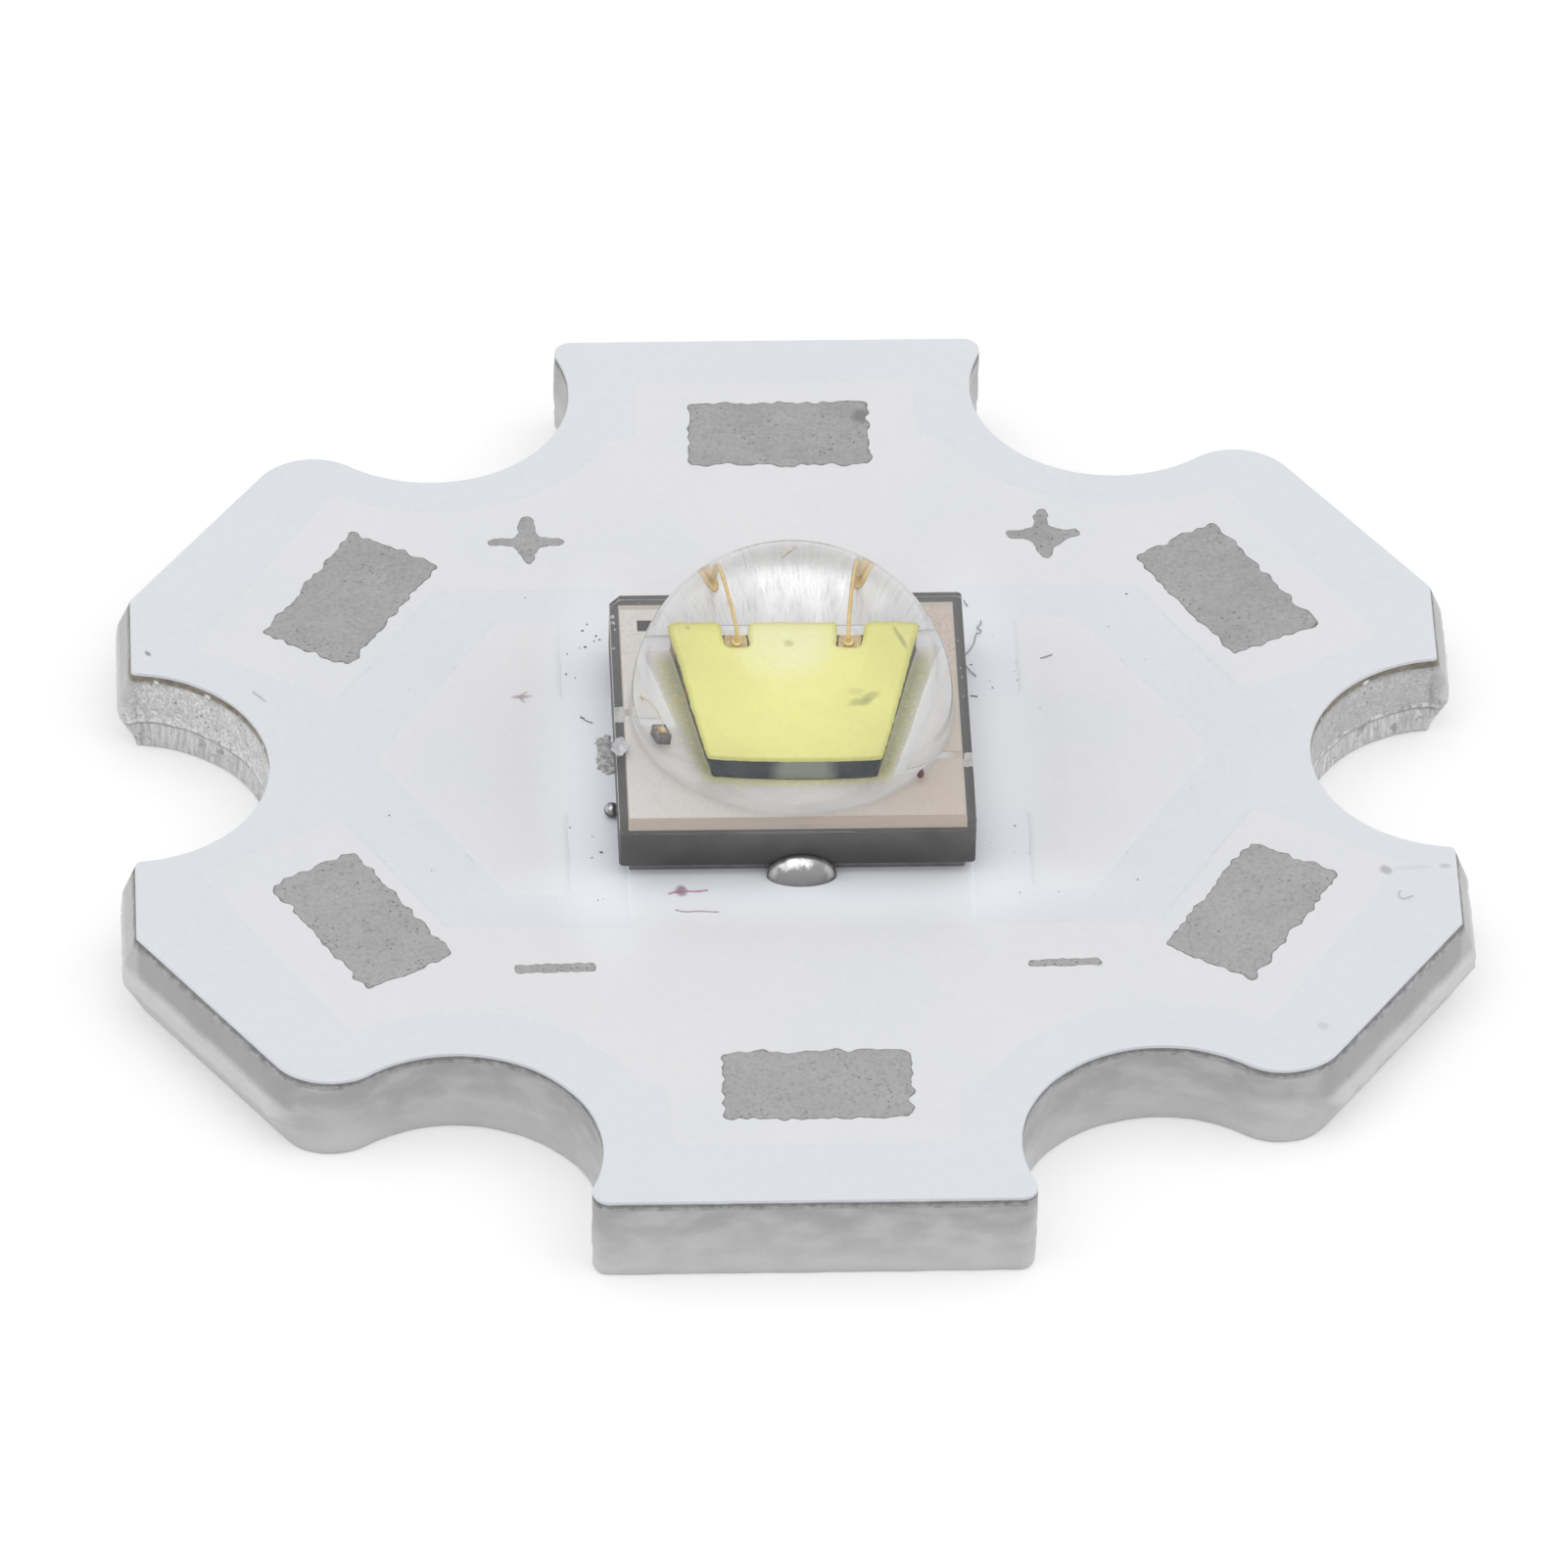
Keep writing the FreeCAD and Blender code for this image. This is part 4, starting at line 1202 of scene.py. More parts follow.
def build_mask(sizes):
    """White mask: the coat over the dielectric, and the low plateaus where copper lifts it."""
    top = node_top("solder_mask")
    low = top - sizes.mask_step / MM
    edge = board_edge(sizes)
    shape = Shape()
    rings = wall_rings(shape, edge, [node_top("dielectric_layer"), low - 0.025, low - 0.008], sizes)
    for inset, height in ((0.012, low - 0.002), (0.03, low), (0.055, low)):
        rings.append(shape.ring([p.moved(-inset) for p in edge], height))
    shape.closed(rings)
    shape.tags = [0.0] * len(shape.points)
    far = wiring_outline(sizes)
    near = [flat(p.x, -p.y) for p in reversed(far)]
    slope = [(out, low + rise, share) for out, rise, share in COPPER_FOOT]
    slope += [(out, top + rise, share) for out, rise, share in COPPER_CREST]
    for corners in (far, near, thermal_outline()):
        outline = resampled(rounded([p + flat(*COPPER_SHIFT) for p in corners], COPPER_CORNER), 0.08)
        shape.closed([shape.ring(grown(outline, out), height, share) for out, height, share in slope])
    shape.piece("mask_coat", "white_mask", ["solder_mask"], 60, "copper")


# Middle of each wiring pad and its turn in degrees
PADS = {
    "positive_pad_left": (-6.1255, 3.604, 59), "positive_pad_centre": (0.10, 7.18, 0),
    "positive_pad_right": (6.3255, 3.604, -59), "negative_pad_left": (-6.1255, -3.364, -59),
    "negative_pad_centre": (0.10, -6.94, 0), "negative_pad_right": (6.3255, -3.364, 59),
}
TIN_DEPTH = 0.022
MARK_DROP = 0.003


def build_pads(sizes):
    """The six tinned wiring pads."""
    top = node_top("positive_pad_centre")
    for seed, (name, (x, y, turn)) in enumerate(PADS.items()):
        outline = rectangle(sizes.pad_length / MM, sizes.pad_width / MM, 0.1, flat(x, y), turn)
        shape = Shape()
        printed = eased(ragged(outline, 0.058, 0.15, seed * 7.3), 2)
        shape.plate(printed, top - TIN_DEPTH, top, 0.006, 0.06, 30)
        shape.piece("tinned_" + name, "tin", [name], 50, "rim")


# Outlines of the two plus marks round their middles, which their print left uneven
LEFT_PLUS = (
    (0.035, -0.51), (0.085, -0.42), (0.11, -0.30), (0.135, -0.21), (0.20, -0.135), (0.34, -0.10),
    (0.47, -0.105), (0.54, -0.01), (0.49, 0.09), (0.34, 0.085), (0.19, 0.10), (0.13, 0.18), (0.12, 0.46),
    (0.06, 0.56), (-0.06, 0.56), (-0.115, 0.47), (-0.12, 0.19), (-0.17, 0.10), (-0.32, 0.075),
    (-0.46, 0.095), (-0.58, 0.02), (-0.54, -0.08), (-0.33, -0.08), (-0.20, -0.12), (-0.13, -0.22),
    (-0.085, -0.36), (-0.02, -0.49),
)
RIGHT_PLUS = (
    (0.04, -0.565), (0.10, -0.46), (0.124, -0.30), (0.21, -0.26), (0.295, -0.165), (0.38, -0.10),
    (0.51, -0.065), (0.54, 0.033), (0.465, 0.12), (0.38, 0.10), (0.27, 0.10), (0.095, 0.165), (0.07, 0.26),
    (0.09, 0.43), (0.04, 0.56), (-0.06, 0.546), (-0.124, 0.395), (-0.13, 0.15), (-0.325, 0.085),
    (-0.517, 0.085), (-0.547, 0.0), (-0.474, -0.118), (-0.30, -0.10), (-0.197, -0.15), (-0.13, -0.30),
    (-0.09, -0.43), (-0.025, -0.526),
)
PLUS_PLACES = ((-3.58, 4.83, LEFT_PLUS), (3.80, 4.88, RIGHT_PLUS))
# Middle, length and width of the minus marks
MINUS_PLACES = ((-3.45, -4.425, 1.14, 0.19), (3.655, -4.43, 1.02, 0.15))


def build_marks():
    """Plus and minus marks, which are tin in small openings too."""
    top = node_top("positive_pad_centre")
    low, high = top - TIN_DEPTH, top - MARK_DROP
    shape = Shape()
    for seed, (x, y, plus) in enumerate(PLUS_PLACES):
        outline = [p + flat(x, y) for p in rounded(flats(plus), 0.08)]
        shape.plate(ragged(outline, 0.016, 0.11, 50 + seed * 5.1), low, high, 0.005, 0.03, 6)
    shape.piece("plus_marks", "tin", (), 50, "rim")
    shape = Shape()
    for seed, (x, y, length, width) in enumerate(MINUS_PLACES):
        outline = rectangle(length, width, 0.06, flat(x, y), 1.5)
        shape.plate(ragged(outline, 0.018, 0.11, 70 + seed * 3.7), low, high, 0.005, 0.03, 6)
    shape.piece("minus_marks", "tin", (), 50, "rim")


# Package pieces

CERAMIC_HALF = 2.5
INDEX_CORNER = ((-2.5, 2.32), (-2.35, 2.5))
DIE_TURN = math.radians(-1.2)
DIE_CENTRE = (0.02, -0.02)
DIE_TOP_HALF = 0.99
DIE_FOOT_HALF = 0.93
DIE_NEAR = 0.985
# The phosphor's two notches: offset from the die's middle, half width, depth and flare
NOTCH_OFFSET = 0.46
NOTCH_HALF = 0.10
NOTCH_DEPTH = 0.27
NOTCH_FLARE = 0.012
PHOSPHOR_HALF = 0.995
PHOSPHOR_NEAR = 0.955


def build_ceramic():
    """Ceramic body with wavy sides, softened edges and its cut index corner."""
    low, high = node_top("anode_terminal"), node_top("ceramic_substrate")
    half = CERAMIC_HALF
    corners = flats(((-half, -half), (half, -half), (half, half), *reversed(INDEX_CORNER)))
    outline = resampled(rounded(corners, 0.06), 0.06)
    shape = Shape()
    rings = [shape.ring(grown(outline, -0.012), low)]
    for height in spread(low + 0.012, high - 0.008, 9):
        wavy = [p - p.normalized() * (0.004 - 0.004 * noise.noise(Vector((p.x * 3, p.y * 3, height * 5))))
                for p in outline]
        rings.append(shape.ring(wavy, height))
    for inset, drop in ((0.007, 0.003), (0.012, 0.0), (0.04, 0.0)):
        rings.append(shape.ring(grown(outline, -inset), high - drop))
    shape.closed(rings)
    shape.piece("ceramic_body", "ceramic", ["ceramic_substrate"], 40)


def on_die(*pairs):
    """Flat points given from the die's middle, along its sides."""
    return [turned(p, DIE_TURN) + flat(*DIE_CENTRE) for p in flats(pairs)]


def strip_on_die(middle, half, near, far):
    """Corners of a rectangle that lies along the die's sides."""
    left, right = middle - half, middle + half
    return on_die((left, near), (right, near), (right, far), (left, far))


def build_die():
    """Die with leaning sides."""
    attach, top = node_top("die_attach"), node_top("led_die")
    shape = Shape()
    rings = []
    for i, height in enumerate(spread(attach, top, 6)):
        half = DIE_FOOT_HALF + (DIE_TOP_HALF - DIE_FOOT_HALF) * (i / 5) ** 1.6
        near = DIE_NEAR - 0.006 * i
        corners = on_die((-half, -near), (half, -near), (half, half), (-half, half))
        rings.append(shape.ring(rounded(corners, 0.02), height))
    shape.closed(rings)
    shape.piece("sawn_die", "die", ["led_die"], 35)


def build_phosphor():
    """Phosphor on the die, and what lies open in its two notches."""
    top = node_top("led_die")
    half, deep = PHOSPHOR_HALF, PHOSPHOR_HALF - NOTCH_DEPTH
    corners = [(-half, -PHOSPHOR_NEAR), (half, -PHOSPHOR_NEAR), (half, half)]
    for centre in (NOTCH_OFFSET, -NOTCH_OFFSET):
        left, right = centre - NOTCH_HALF, centre + NOTCH_HALF
        corners += [(right + NOTCH_FLARE, half), (right, deep), (left, deep), (left - NOTCH_FLARE, half)]
    corners.append((-half, half))
    outline = ragged(rounded(on_die(*corners), 0.045), 0.007, 0.1, 31.0)
    shape = Shape()
    shape.plate(outline, top, node_top("phosphor_layer"), 0.014, 0.03, 6)
    shape.piece("phosphor_coat", "phosphor", ["phosphor_layer"], 40, "rim")
    for side, name in ((-NOTCH_OFFSET, "left"), (NOTCH_OFFSET, "right")):
        shape = Shape()
        strip = rounded(strip_on_die(side, 0.12, 0.885, 0.985), 0.01)
        shape.plate(strip, top - 0.004, top + 0.003, 0.002, 0.004)
        shape.piece("bare_strip_" + name, "mirror", (), 40)
        shape = Shape()
        pad = rounded(strip_on_die(side, 0.092, 0.735, 0.885), 0.035)
        shape.plate(pad, top - 0.004, top + 0.006, 0.003, 0.02)
        shape.piece("bond_pad_" + name, "bond_pad", (), 40, "rim")


# X of each bond wire's start on the die, of its arch and of its stitch
BOND_WIRES = {"bond_wire_left": (-0.455, -0.47, -0.435), "bond_wire_right": (0.455, 0.50, 0.475)}


def build_bond_wires(sizes):
    """Two gold wires, each from the ball on the die up, over and down to its flat stitch."""
    radius = sizes.wire_radius / MM
    ball, neck = radius * 3.2, radius * 1.55
    die_top, floor = node_top("led_die"), node_top("wire_metal")
    for name, (start, apex, stitch) in BOND_WIRES.items():
        foot = on_die((start, 0.80))[0]
        run = flat(apex, 1.37) - foot
        points = [(foot.x, foot.y, die_top + 0.035), (foot.x, foot.y + 0.012, die_top + 0.085),
                  (foot.x + run.x * 0.25, foot.y + run.y * 0.22, die_top + 0.135),
                  (foot.x + run.x * 0.7, foot.y + run.y * 0.66, die_top + 0.165),
                  (apex, 1.355, die_top + 0.155), (apex * 0.6 + stitch * 0.4, 1.405, die_top + 0.07),
                  (stitch, 1.435, floor + 0.10), (stitch, 1.475, floor + 0.012)]
        shape = Shape()
        shape.ball(Vector((foot.x, foot.y, die_top + 0.36 * ball)), ball, 0.42, 18)
        shape.ball(Vector((foot.x, foot.y, die_top + 0.76 * ball)), neck, 1.0, 14)
        shape.ball(Vector((stitch, 1.465, floor + 0.006)), ball, 0.24, 18, (0.75, 1.25))
        shape.tube(smooth_path([Vector(p) for p in points]), radius)
        shape.piece("gold_" + name, "gold", [name])


def build_protection_wire(sizes):
    """Finer gold wire from the protection chip to the far metal."""
    top, floor = node_top("protection_chip"), node_top("wire_metal")
    x, y = -1.375, -0.28
    points = [(x, y, top + 0.02), (x, y + 0.015, top + 0.055), (x, y + 0.12, top + 0.07),
              (-1.38, 0.02, top + 0.05), (x, 0.22, top - 0.02), (-1.37, 0.33, floor + 0.04),
              (-1.37, 0.39, floor + 0.008)]
    shape = Shape()
    shape.ball(Vector((x, y, top + 0.012)), 0.045, 0.5, 16)
    shape.ball(Vector((-1.37, 0.38, floor + 0.004)), 0.03, 0.25, 12, (0.8, 1.3))
    shape.tube(smooth_path([Vector(p) for p in points]), sizes.wire_radius / MM * 0.42)
    shape.piece("gold_protection_wire", "fine_gold", ["protection_wire"])


CHIP_CENTRE = (-1.39, -0.2725)
CHIP_PAD_CENTRE = (-1.385, -0.275)
CHIP_WIDTH = 0.21
CHIP_PAD_WIDTH = 0.11
CHIP_TURN = 5


def build_chip():
    """Protection chip and the gold pad on it."""
    top = node_top("protection_chip")
    shape = Shape()
    outline = rectangle(CHIP_WIDTH, CHIP_WIDTH, 0.02, flat(*CHIP_CENTRE), CHIP_TURN)
    shape.plate(outline, node_top("die_metal"), top, 0.012)
    shape.piece("small_chip", "chip", ["protection_chip"], 35)
    shape = Shape()
    outline = rectangle(CHIP_PAD_WIDTH, CHIP_PAD_WIDTH, 0.03, flat(*CHIP_PAD_CENTRE), CHIP_TURN)
    shape.plate(outline, top - 0.004, top + 0.004, 0.003)
    shape.piece("chip_pad", "warm_gold", (), 35)


FRONT_JOINT_WIDTH = 4.70
FRONT_JOINT_DEPTH = 0.42
FRONT_JOINT_Y = -2.14
# Bead that was squeezed out of it: middle, half sizes, height and where the ceramic cuts it off
BEAD_CENTRE = (0.06, -2.52)
BEAD_HALF_WIDTH = 0.49
BEAD_HALF_DEPTH = 0.24
BEAD_HEIGHT = 0.375
BEAD_BACK = -2.501
LOOSE_BALL_PLACE = (-2.560, -1.17)
LOOSE_BALL_SUNK = 0.009


def build_solder(sizes):
    """Front joint with its bead, and a loose ball at the left."""
    deck = node_top("solder_mask")
    shape = Shape()
    shape.plate(rectangle(FRONT_JOINT_WIDTH, FRONT_JOINT_DEPTH, 0.03, flat(0, FRONT_JOINT_Y)),
                node_top("thermal_copper"), node_top("thermal_solder"), 0.01)
    rings = []
    for tilt in spread(0, math.pi / 2, 19)[1:]:
        outline = [flat(BEAD_CENTRE[0] + BEAD_HALF_WIDTH * math.sin(tilt) * math.cos(turn),
                        min(BEAD_CENTRE[1] + BEAD_HALF_DEPTH * math.sin(tilt) * math.sin(turn), BEAD_BACK))
                   for turn in circle_turns(72)]
        rings.append(shape.ring(outline, deck + BEAD_HEIGHT * math.cos(tilt)))
    shape.walls(rings[::-1])
    shape.fan(rings[0], (*BEAD_CENTRE, deck + BEAD_HEIGHT), True)
    shape.cap(rings[-1], False)
    shape.piece("front_joint", "solder", ["cathode_solder"])
    radius = sizes.ball_radius / MM
    shape = Shape()
    shape.ball(Vector((*LOOSE_BALL_PLACE, deck + radius - LOOSE_BALL_SUNK)), radius, 1.0, 24)
    shape.piece("loose_solder_ball", "solder")


# Flux and coat

# Outline of the crust of flux at the package's left foot
FLUX = (
    (-2.438, -0.270), (-2.440, 0.010), (-2.514, 0.224), (-2.517, 0.505), (-2.583, 0.578), (-2.713, 0.474),
    (-2.739, 0.368), (-2.708, 0.227), (-2.738, 0.015), (-2.721, -0.195), (-2.610, -0.303),
)
# Its layers: how far out, how high over the mask, rounds of smoothing and tag
FLUX_LAYERS = ((0.012, -0.03, 0, 1.0), (0.0, 0.002, 0, 1.0), (-0.012, 0.012, 0, 1.0), (-0.03, 0.016, 3, 0.0))
# Outline of the flake of wax on the film's left edge
FLAKE = (
    (-2.316, -0.777), (-2.397, -0.602), (-2.513, -0.634), (-2.532, -0.915), (-2.480, -1.039),
    (-2.339, -0.919),
)
# Patches of white coat over the ceramic's border: middle, width and length
COAT_PATCHES = ((-2.415, -0.01, 0.15, 0.34), (2.43, -1.07, 0.11, 0.31))
# Flecks of white coat there: middle and size
COAT_FLECKS = (
    (-2.45, 2.12, 0.028), (-2.44, 1.98, 0.02), (-2.455, 2.0, 0.015), (-2.43, 1.84, 0.016),
    (2.42, 0.92, 0.014), (2.43, 0.72, 0.016), (2.41, 1.52, 0.01), (2.43, 0.3, 0.01),
)


def build_flux():
    """Crust of flux on the board and a flake of wax above it."""
    deck, top = node_top("solder_mask"), node_top("ceramic_substrate")
    crust = ragged(flats(FLUX), 0.022, 0.07, 90.0)
    shape = Shape()
    rings = []
    for out, rise, times, tag in FLUX_LAYERS:
        moved = grown(eased(crust, times), out)
        heights = [deck + rise + 0.006 * noise.noise(Vector((p.x * 22, p.y * 22, out * 60))) for p in moved]
        rings.append(shape.ring(moved, heights, tag))
    shape.closed(rings)
    shape.piece("flux_crust", "flux", (), 60, "rim")
    shape = Shape()
    shape.plate(ragged(flats(FLAKE), 0.016, 0.07, 95.0), top + 0.158, top + 0.176, 0.006)
    shape.piece("wax_flake", "wax")


def build_flecks():
    """White coat that strayed over the ceramic's border."""
    top = node_top("ceramic_substrate")
    shape = Shape()
    for x, y, width, length in COAT_PATCHES:
        outline = ragged(rectangle(width, length, 0.04, flat(x, y)), 0.012, 0.08, 97.0 + x)
        shape.plate(outline, top - 0.004, top + 0.008, 0.004)
    for x, y, size in COAT_FLECKS:
        shape.ball(Vector((x, y, top)), size, 0.35, 9, (0.8, 1.7))
    shape.piece("coat_flecks", "flake")


# Silicone

DOME_FOOT = 0.04
FILM_CORNER = 0.06
LIP = 0.014
NEAR_LIP = 0.044


def square_point(angle, half):
    """Where a ray from the middle meets a square with rounded corners, one of them cut off."""
    ray = at_angle(1, angle)
    point = ray * (half / max(abs(ray.x), abs(ray.y)))
    inside = half - FILM_CORNER
    if abs(point.x) > inside and abs(point.y) > inside:
        centre = flat(math.copysign(inside, ray.x), math.copysign(inside, ray.y))
        nearest = ray.dot(centre)
        height = (centre - ray * nearest).length
        point = ray * (nearest + math.sqrt(max(FILM_CORNER ** 2 - height ** 2, 0.0)))
    start, end = flats(INDEX_CORNER)
    away = flat(start.y - end.y, end.x - start.x).normalized()
    limit = away.dot(start) - (CERAMIC_HALF - half)
    beyond = away.dot(point)
    return point * (limit / beyond) if beyond > limit else point


def lip_at(angle):
    """Rounding of the film's upper edge, which is softest along its near side."""
    near = max(0.0, min(1.0, (-math.sin(angle) - 0.6) / 0.12))
    return LIP + (NEAR_LIP - LIP) * near


def moulding_turns(count):
    """Directions round the moulding, closer together at its four corners."""
    turns = circle_turns(count)
    for quarter in circle_turns(4):
        turns += [math.pi / 4 + quarter + 0.045 * i / 7 + 0.002 for i in range(-7, 8)]
    return sorted(turns)


def build_silicone(sizes):
    """Square film and dome in one closed skin, on the ceramic and round what is inside."""
    base = node_top("ceramic_substrate") - 0.002
    film_top = node_top("ceramic_substrate") + sizes.film_height / MM
    half, radius = sizes.film_half / MM, sizes.dome_radius / MM
    centre = node_top("silicone_dome") - radius
    turns = moulding_turns(sizes.dome_turns)

    def circle(reach):
        return [at_angle(reach, a) for a in turns]

    def square(lips, border=0.0):
        return [square_point(a, half - lip_at(a) * lips - border) for a in turns]

    quarter = math.pi / 2
    levels = [(circle(radius * math.sin(tilt)), centre + radius * math.cos(tilt))
              for tilt in spread(0, quarter, 45)[1:]]
    levels += [(circle(radius + DOME_FOOT * (1 - math.cos(tilt))),
                film_top + DOME_FOOT * (1 - math.sin(tilt))) for tilt in spread(0, quarter, 5)]
    levels += [(circle(radius + DOME_FOOT + 0.01), film_top), (square(1, 0.01), film_top)]
    levels += [(square(1 - math.sin(tilt)), [film_top - lip_at(a) * (1 - math.cos(tilt)) for a in turns])
               for tilt in spread(0, quarter, 6)]
    levels.append((square(0), base))
    shape = Shape()
    rings = [shape.ring(outline, height) for outline, height in reversed(levels)]
    shape.walls(rings)
    shape.fan(rings[0], (0, 0, base), False)
    shape.fan(rings[-1], (0, 0, centre + radius), True)
    shape.piece("clear_moulding", "silicone", ["silicone_dome"], 50)


# Dust and lint

# Middle and size of the specks that stand out
SPECKS = (
    (-3.11, 1.91, 0.015), (-4.00, 0.60, 0.017), (-4.50, 1.07, 0.010), (-5.40, -0.02, 0.015),
    (-4.83, -0.21, 0.012), (-4.09, -0.69, 0.014), (-3.83, -0.33, 0.012), (-3.15, -1.42, 0.014),
    (-2.73, -1.96, 0.017), (-3.29, 2.10, 0.012), (-2.90, 2.48, 0.010), (3.35, 2.38, 0.012),
    (2.92, 1.51, 0.014), (3.62, 1.41, 0.017), (3.57, 1.04, 0.018), (2.94, 0.58, 0.012),
    (3.63, 0.16, 0.011), (3.15, -0.13, 0.011), (4.37, 0.11, 0.014), (5.19, 0.59, 0.009),
    (3.10, -1.49, 0.014), (3.43, -1.36, 0.013), (2.64, 2.02, 0.013), (4.92, 3.54, 0.013),
    (-2.96, 5.83, 0.011), (-3.64, 3.60, 0.011), (4.02, 1.73, 0.009), (2.76, -0.75, 0.011),
    (-3.52, 2.82, 0.016), (-3.44, 2.63, 0.014), (-3.24, 2.66, 0.014), (-2.82, 2.50, 0.016),
    (-3.57, 2.15, 0.013), (-2.98, 1.83, 0.013), (-3.46, 1.71, 0.012), (-2.85, 2.86, 0.017),
    (-2.66, 2.74, 0.016), (-2.61, 2.66, 0.016), (-3.08, 2.35, 0.012),
)
# Crumbs of flux: middle, width and length
CRUMBS = ((-2.905, 0.935, 0.045, 0.022), (-2.80, 0.99, 0.015, 0.015), (-2.96, 1.02, 0.02, 0.015))
SCATTERED_SPECKS = 260
CLEAR_OF_PACKAGE = 2.56
SCATTER_REACH = 3.0
FILM_SPECK = (1.745, -1.45)
SMUDGE = ((-0.15, 0.52), (-0.09, 0.60), (-0.03, 0.70), (0.04, 0.86))
# Radius, height over the mask and paths of the threads that lie about, by name and finish
THREADS = {
    ("pink_fibre", "fibre"): (0.011, 0.010, (
        ((-1.818, -2.885), (-1.643, -2.828), (-1.454, -2.843), (-1.266, -2.820)),)),
    ("pale_fibre", "pale_fibre"): (0.009, 0.010, (
        ((-1.73, -3.23), (-1.60, -3.27), (-1.406, -3.262), (-1.125, -3.282)),)),
    ("fine_hair", "hair"): (0.007, 0.010, (
        ((2.819, 2.970), (2.811, 2.884), (2.757, 2.807), (2.814, 2.737), (2.775, 2.682), (2.736, 2.667),
         (2.696, 2.459), (2.630, 2.320), (2.574, 2.226)),
        ((2.563, 1.971), (2.610, 1.877), (2.694, 1.745)),
        ((2.596, 3.419), (2.615, 3.358), (2.642, 3.289)),
        ((3.629, 2.126), (3.70, 2.15), (3.799, 2.203)),
        ((-2.935, 0.965), (-2.86, 0.87), (-2.767, 0.813)),
        ((2.59, 1.32), (2.65, 1.31), (2.70, 1.295)))),
    ("faint_lint", "lint"): (0.005, 0.004, (
        ((8.43, -2.98), (8.40, -3.08), (8.46, -3.16), (8.60, -3.10)),
        ((-7.549, 1.601), (-7.46, 1.49), (-7.373, 1.384)))),
}


def build_dust():
    """Dust on the mask: the specks that stand out, finer ones at random, and crumbs of flux."""
    deck = node_top("solder_mask") - 0.008
    chance = random.Random(11)
    shape = Shape()
    for x, y, size in SPECKS:
        stretch = (chance.uniform(0.8, 1.5), chance.uniform(0.7, 1.2))
        shape.ball(Vector((x, y, deck)), size, 0.5, 8, stretch)
    for _ in range(SCATTERED_SPECKS):
        angle, reach = chance.uniform(0, 2 * math.pi), 2.6 + 3.2 * chance.random() ** 1.8
        x, y = at_angle(reach, angle)
        if max(abs(x), abs(y)) > CLEAR_OF_PACKAGE and abs(y) < SCATTER_REACH:
            shape.ball(Vector((x, y, deck)), 0.004 + 0.010 * chance.random() ** 2, 0.5, 7)
    for x, y, width, length in CRUMBS:
        shape.ball(Vector((x, y, deck)), width, 0.3, 10, (1.0, length / width))
    shape.piece("dust_specks", "dust")


def build_smudges(sizes):
    """Speck on the silicone film and the smudge on the dome's skin."""
    shape = Shape()
    film_top = node_top("ceramic_substrate") + sizes.film_height / MM
    shape.ball(Vector((*FILM_SPECK, film_top)), 0.055, 0.5, 9, (1.05, 2.0))
    shape.piece("speck_on_film", "speck")
    shape = Shape()
    radius = sizes.dome_radius / MM
    centre = node_top("silicone_dome") - radius
    path = [Vector((x, y, centre + math.sqrt(radius ** 2 - x * x - y * y))) for x, y in SMUDGE]
    shape.tube(smooth_path(path), 0.013, 6)
    shape.piece("smudge_on_dome", "smudge")


def build_threads():
    """Fibres, hairs and lint on the mask."""
    for (name, finish), (radius, rise, paths) in THREADS.items():
        height = node_top("solder_mask") + rise
        shape = Shape()
        for path in paths:
            shape.tube(smooth_path([Vector((x, y, height)) for x, y in path]), radius, 6)
        shape.piece(name, finish)


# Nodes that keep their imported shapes

KEPT_NODES = {
    "positive_copper": "copper", "negative_copper": "copper", "thermal_copper": "copper",
    "anode_solder": "joint", "thermal_solder": "joint", "die_attach": "joint",
    "anode_terminal": "silver_metal", "thermal_terminal": "silver_metal",
    "cathode_terminal": "silver_metal", "die_metal": "silver_metal", "wire_metal": "silver_metal",
}


def paint_kept_nodes():
    """Finishes of the nodes that no piece replaces."""
    for name, finish in KEPT_NODES.items():
        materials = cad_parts[name].data.materials
        materials.clear()
        materials.append(finish_named(finish))


# Stage

FLOOR_REACH = 0.6
FLOOR_LEVEL = -1e-5
KEY_PLACE = (0.06, -0.06, 0.58)
KEY_WIDTH = 1.10
KEY_WATTS = 1.30

# The photograph's camera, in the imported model's frame: degrees, millimetres and pixels
CAMERA_AZIMUTH = -2.9999
CAMERA_ELEVATION = 40.5663
CAMERA_ROLL = 1.2996
CAMERA_DISTANCE = 281.621
CAMERA_AIM = (-0.1125, -0.5446)
FOCAL_PIXELS = 20437.35
PICTURE_PIXELS = 1601
SENSOR_WIDTH = 36


def seen_directly(paint):
    """1 for rays from the camera and for those that gloss or glass sends on, else 0."""
    rays = [paint.node("LightPath", output=output) for output in (0, 3, 6)]
    return paint.math("ADD", rays[0] + rays[1], rays[2], clamp=True)


def place_floor():
    """Pale floor that glows a little where it is seen."""
    corners = [(x * FLOOR_REACH, y * FLOOR_REACH, FLOOR_LEVEL)
               for x, y in ((-1, -1), (1, -1), (1, 1), (-1, 1))]
    mesh = bpy.data.meshes.new("pale_floor")
    mesh.from_pydata(corners, [], [(0, 1, 2, 3)])
    placed("pale_floor", mesh)
    material = bpy.data.materials.new("floor_white")
    paint = Paint(material)
    lit = paint.node("BsdfDiffuse", {}, {"Color": (0.8, 0.8, 0.8, 1)})
    glow = paint.node("Emission", {}, {"Color": (1, 1, 1, 1), "Strength": seen_directly(paint) * 0.26})
    paint.node("OutputMaterial", {}, {"Surface": paint.node("AddShader", {}, {0: lit, 1: glow})})
    mesh.materials.append(material)


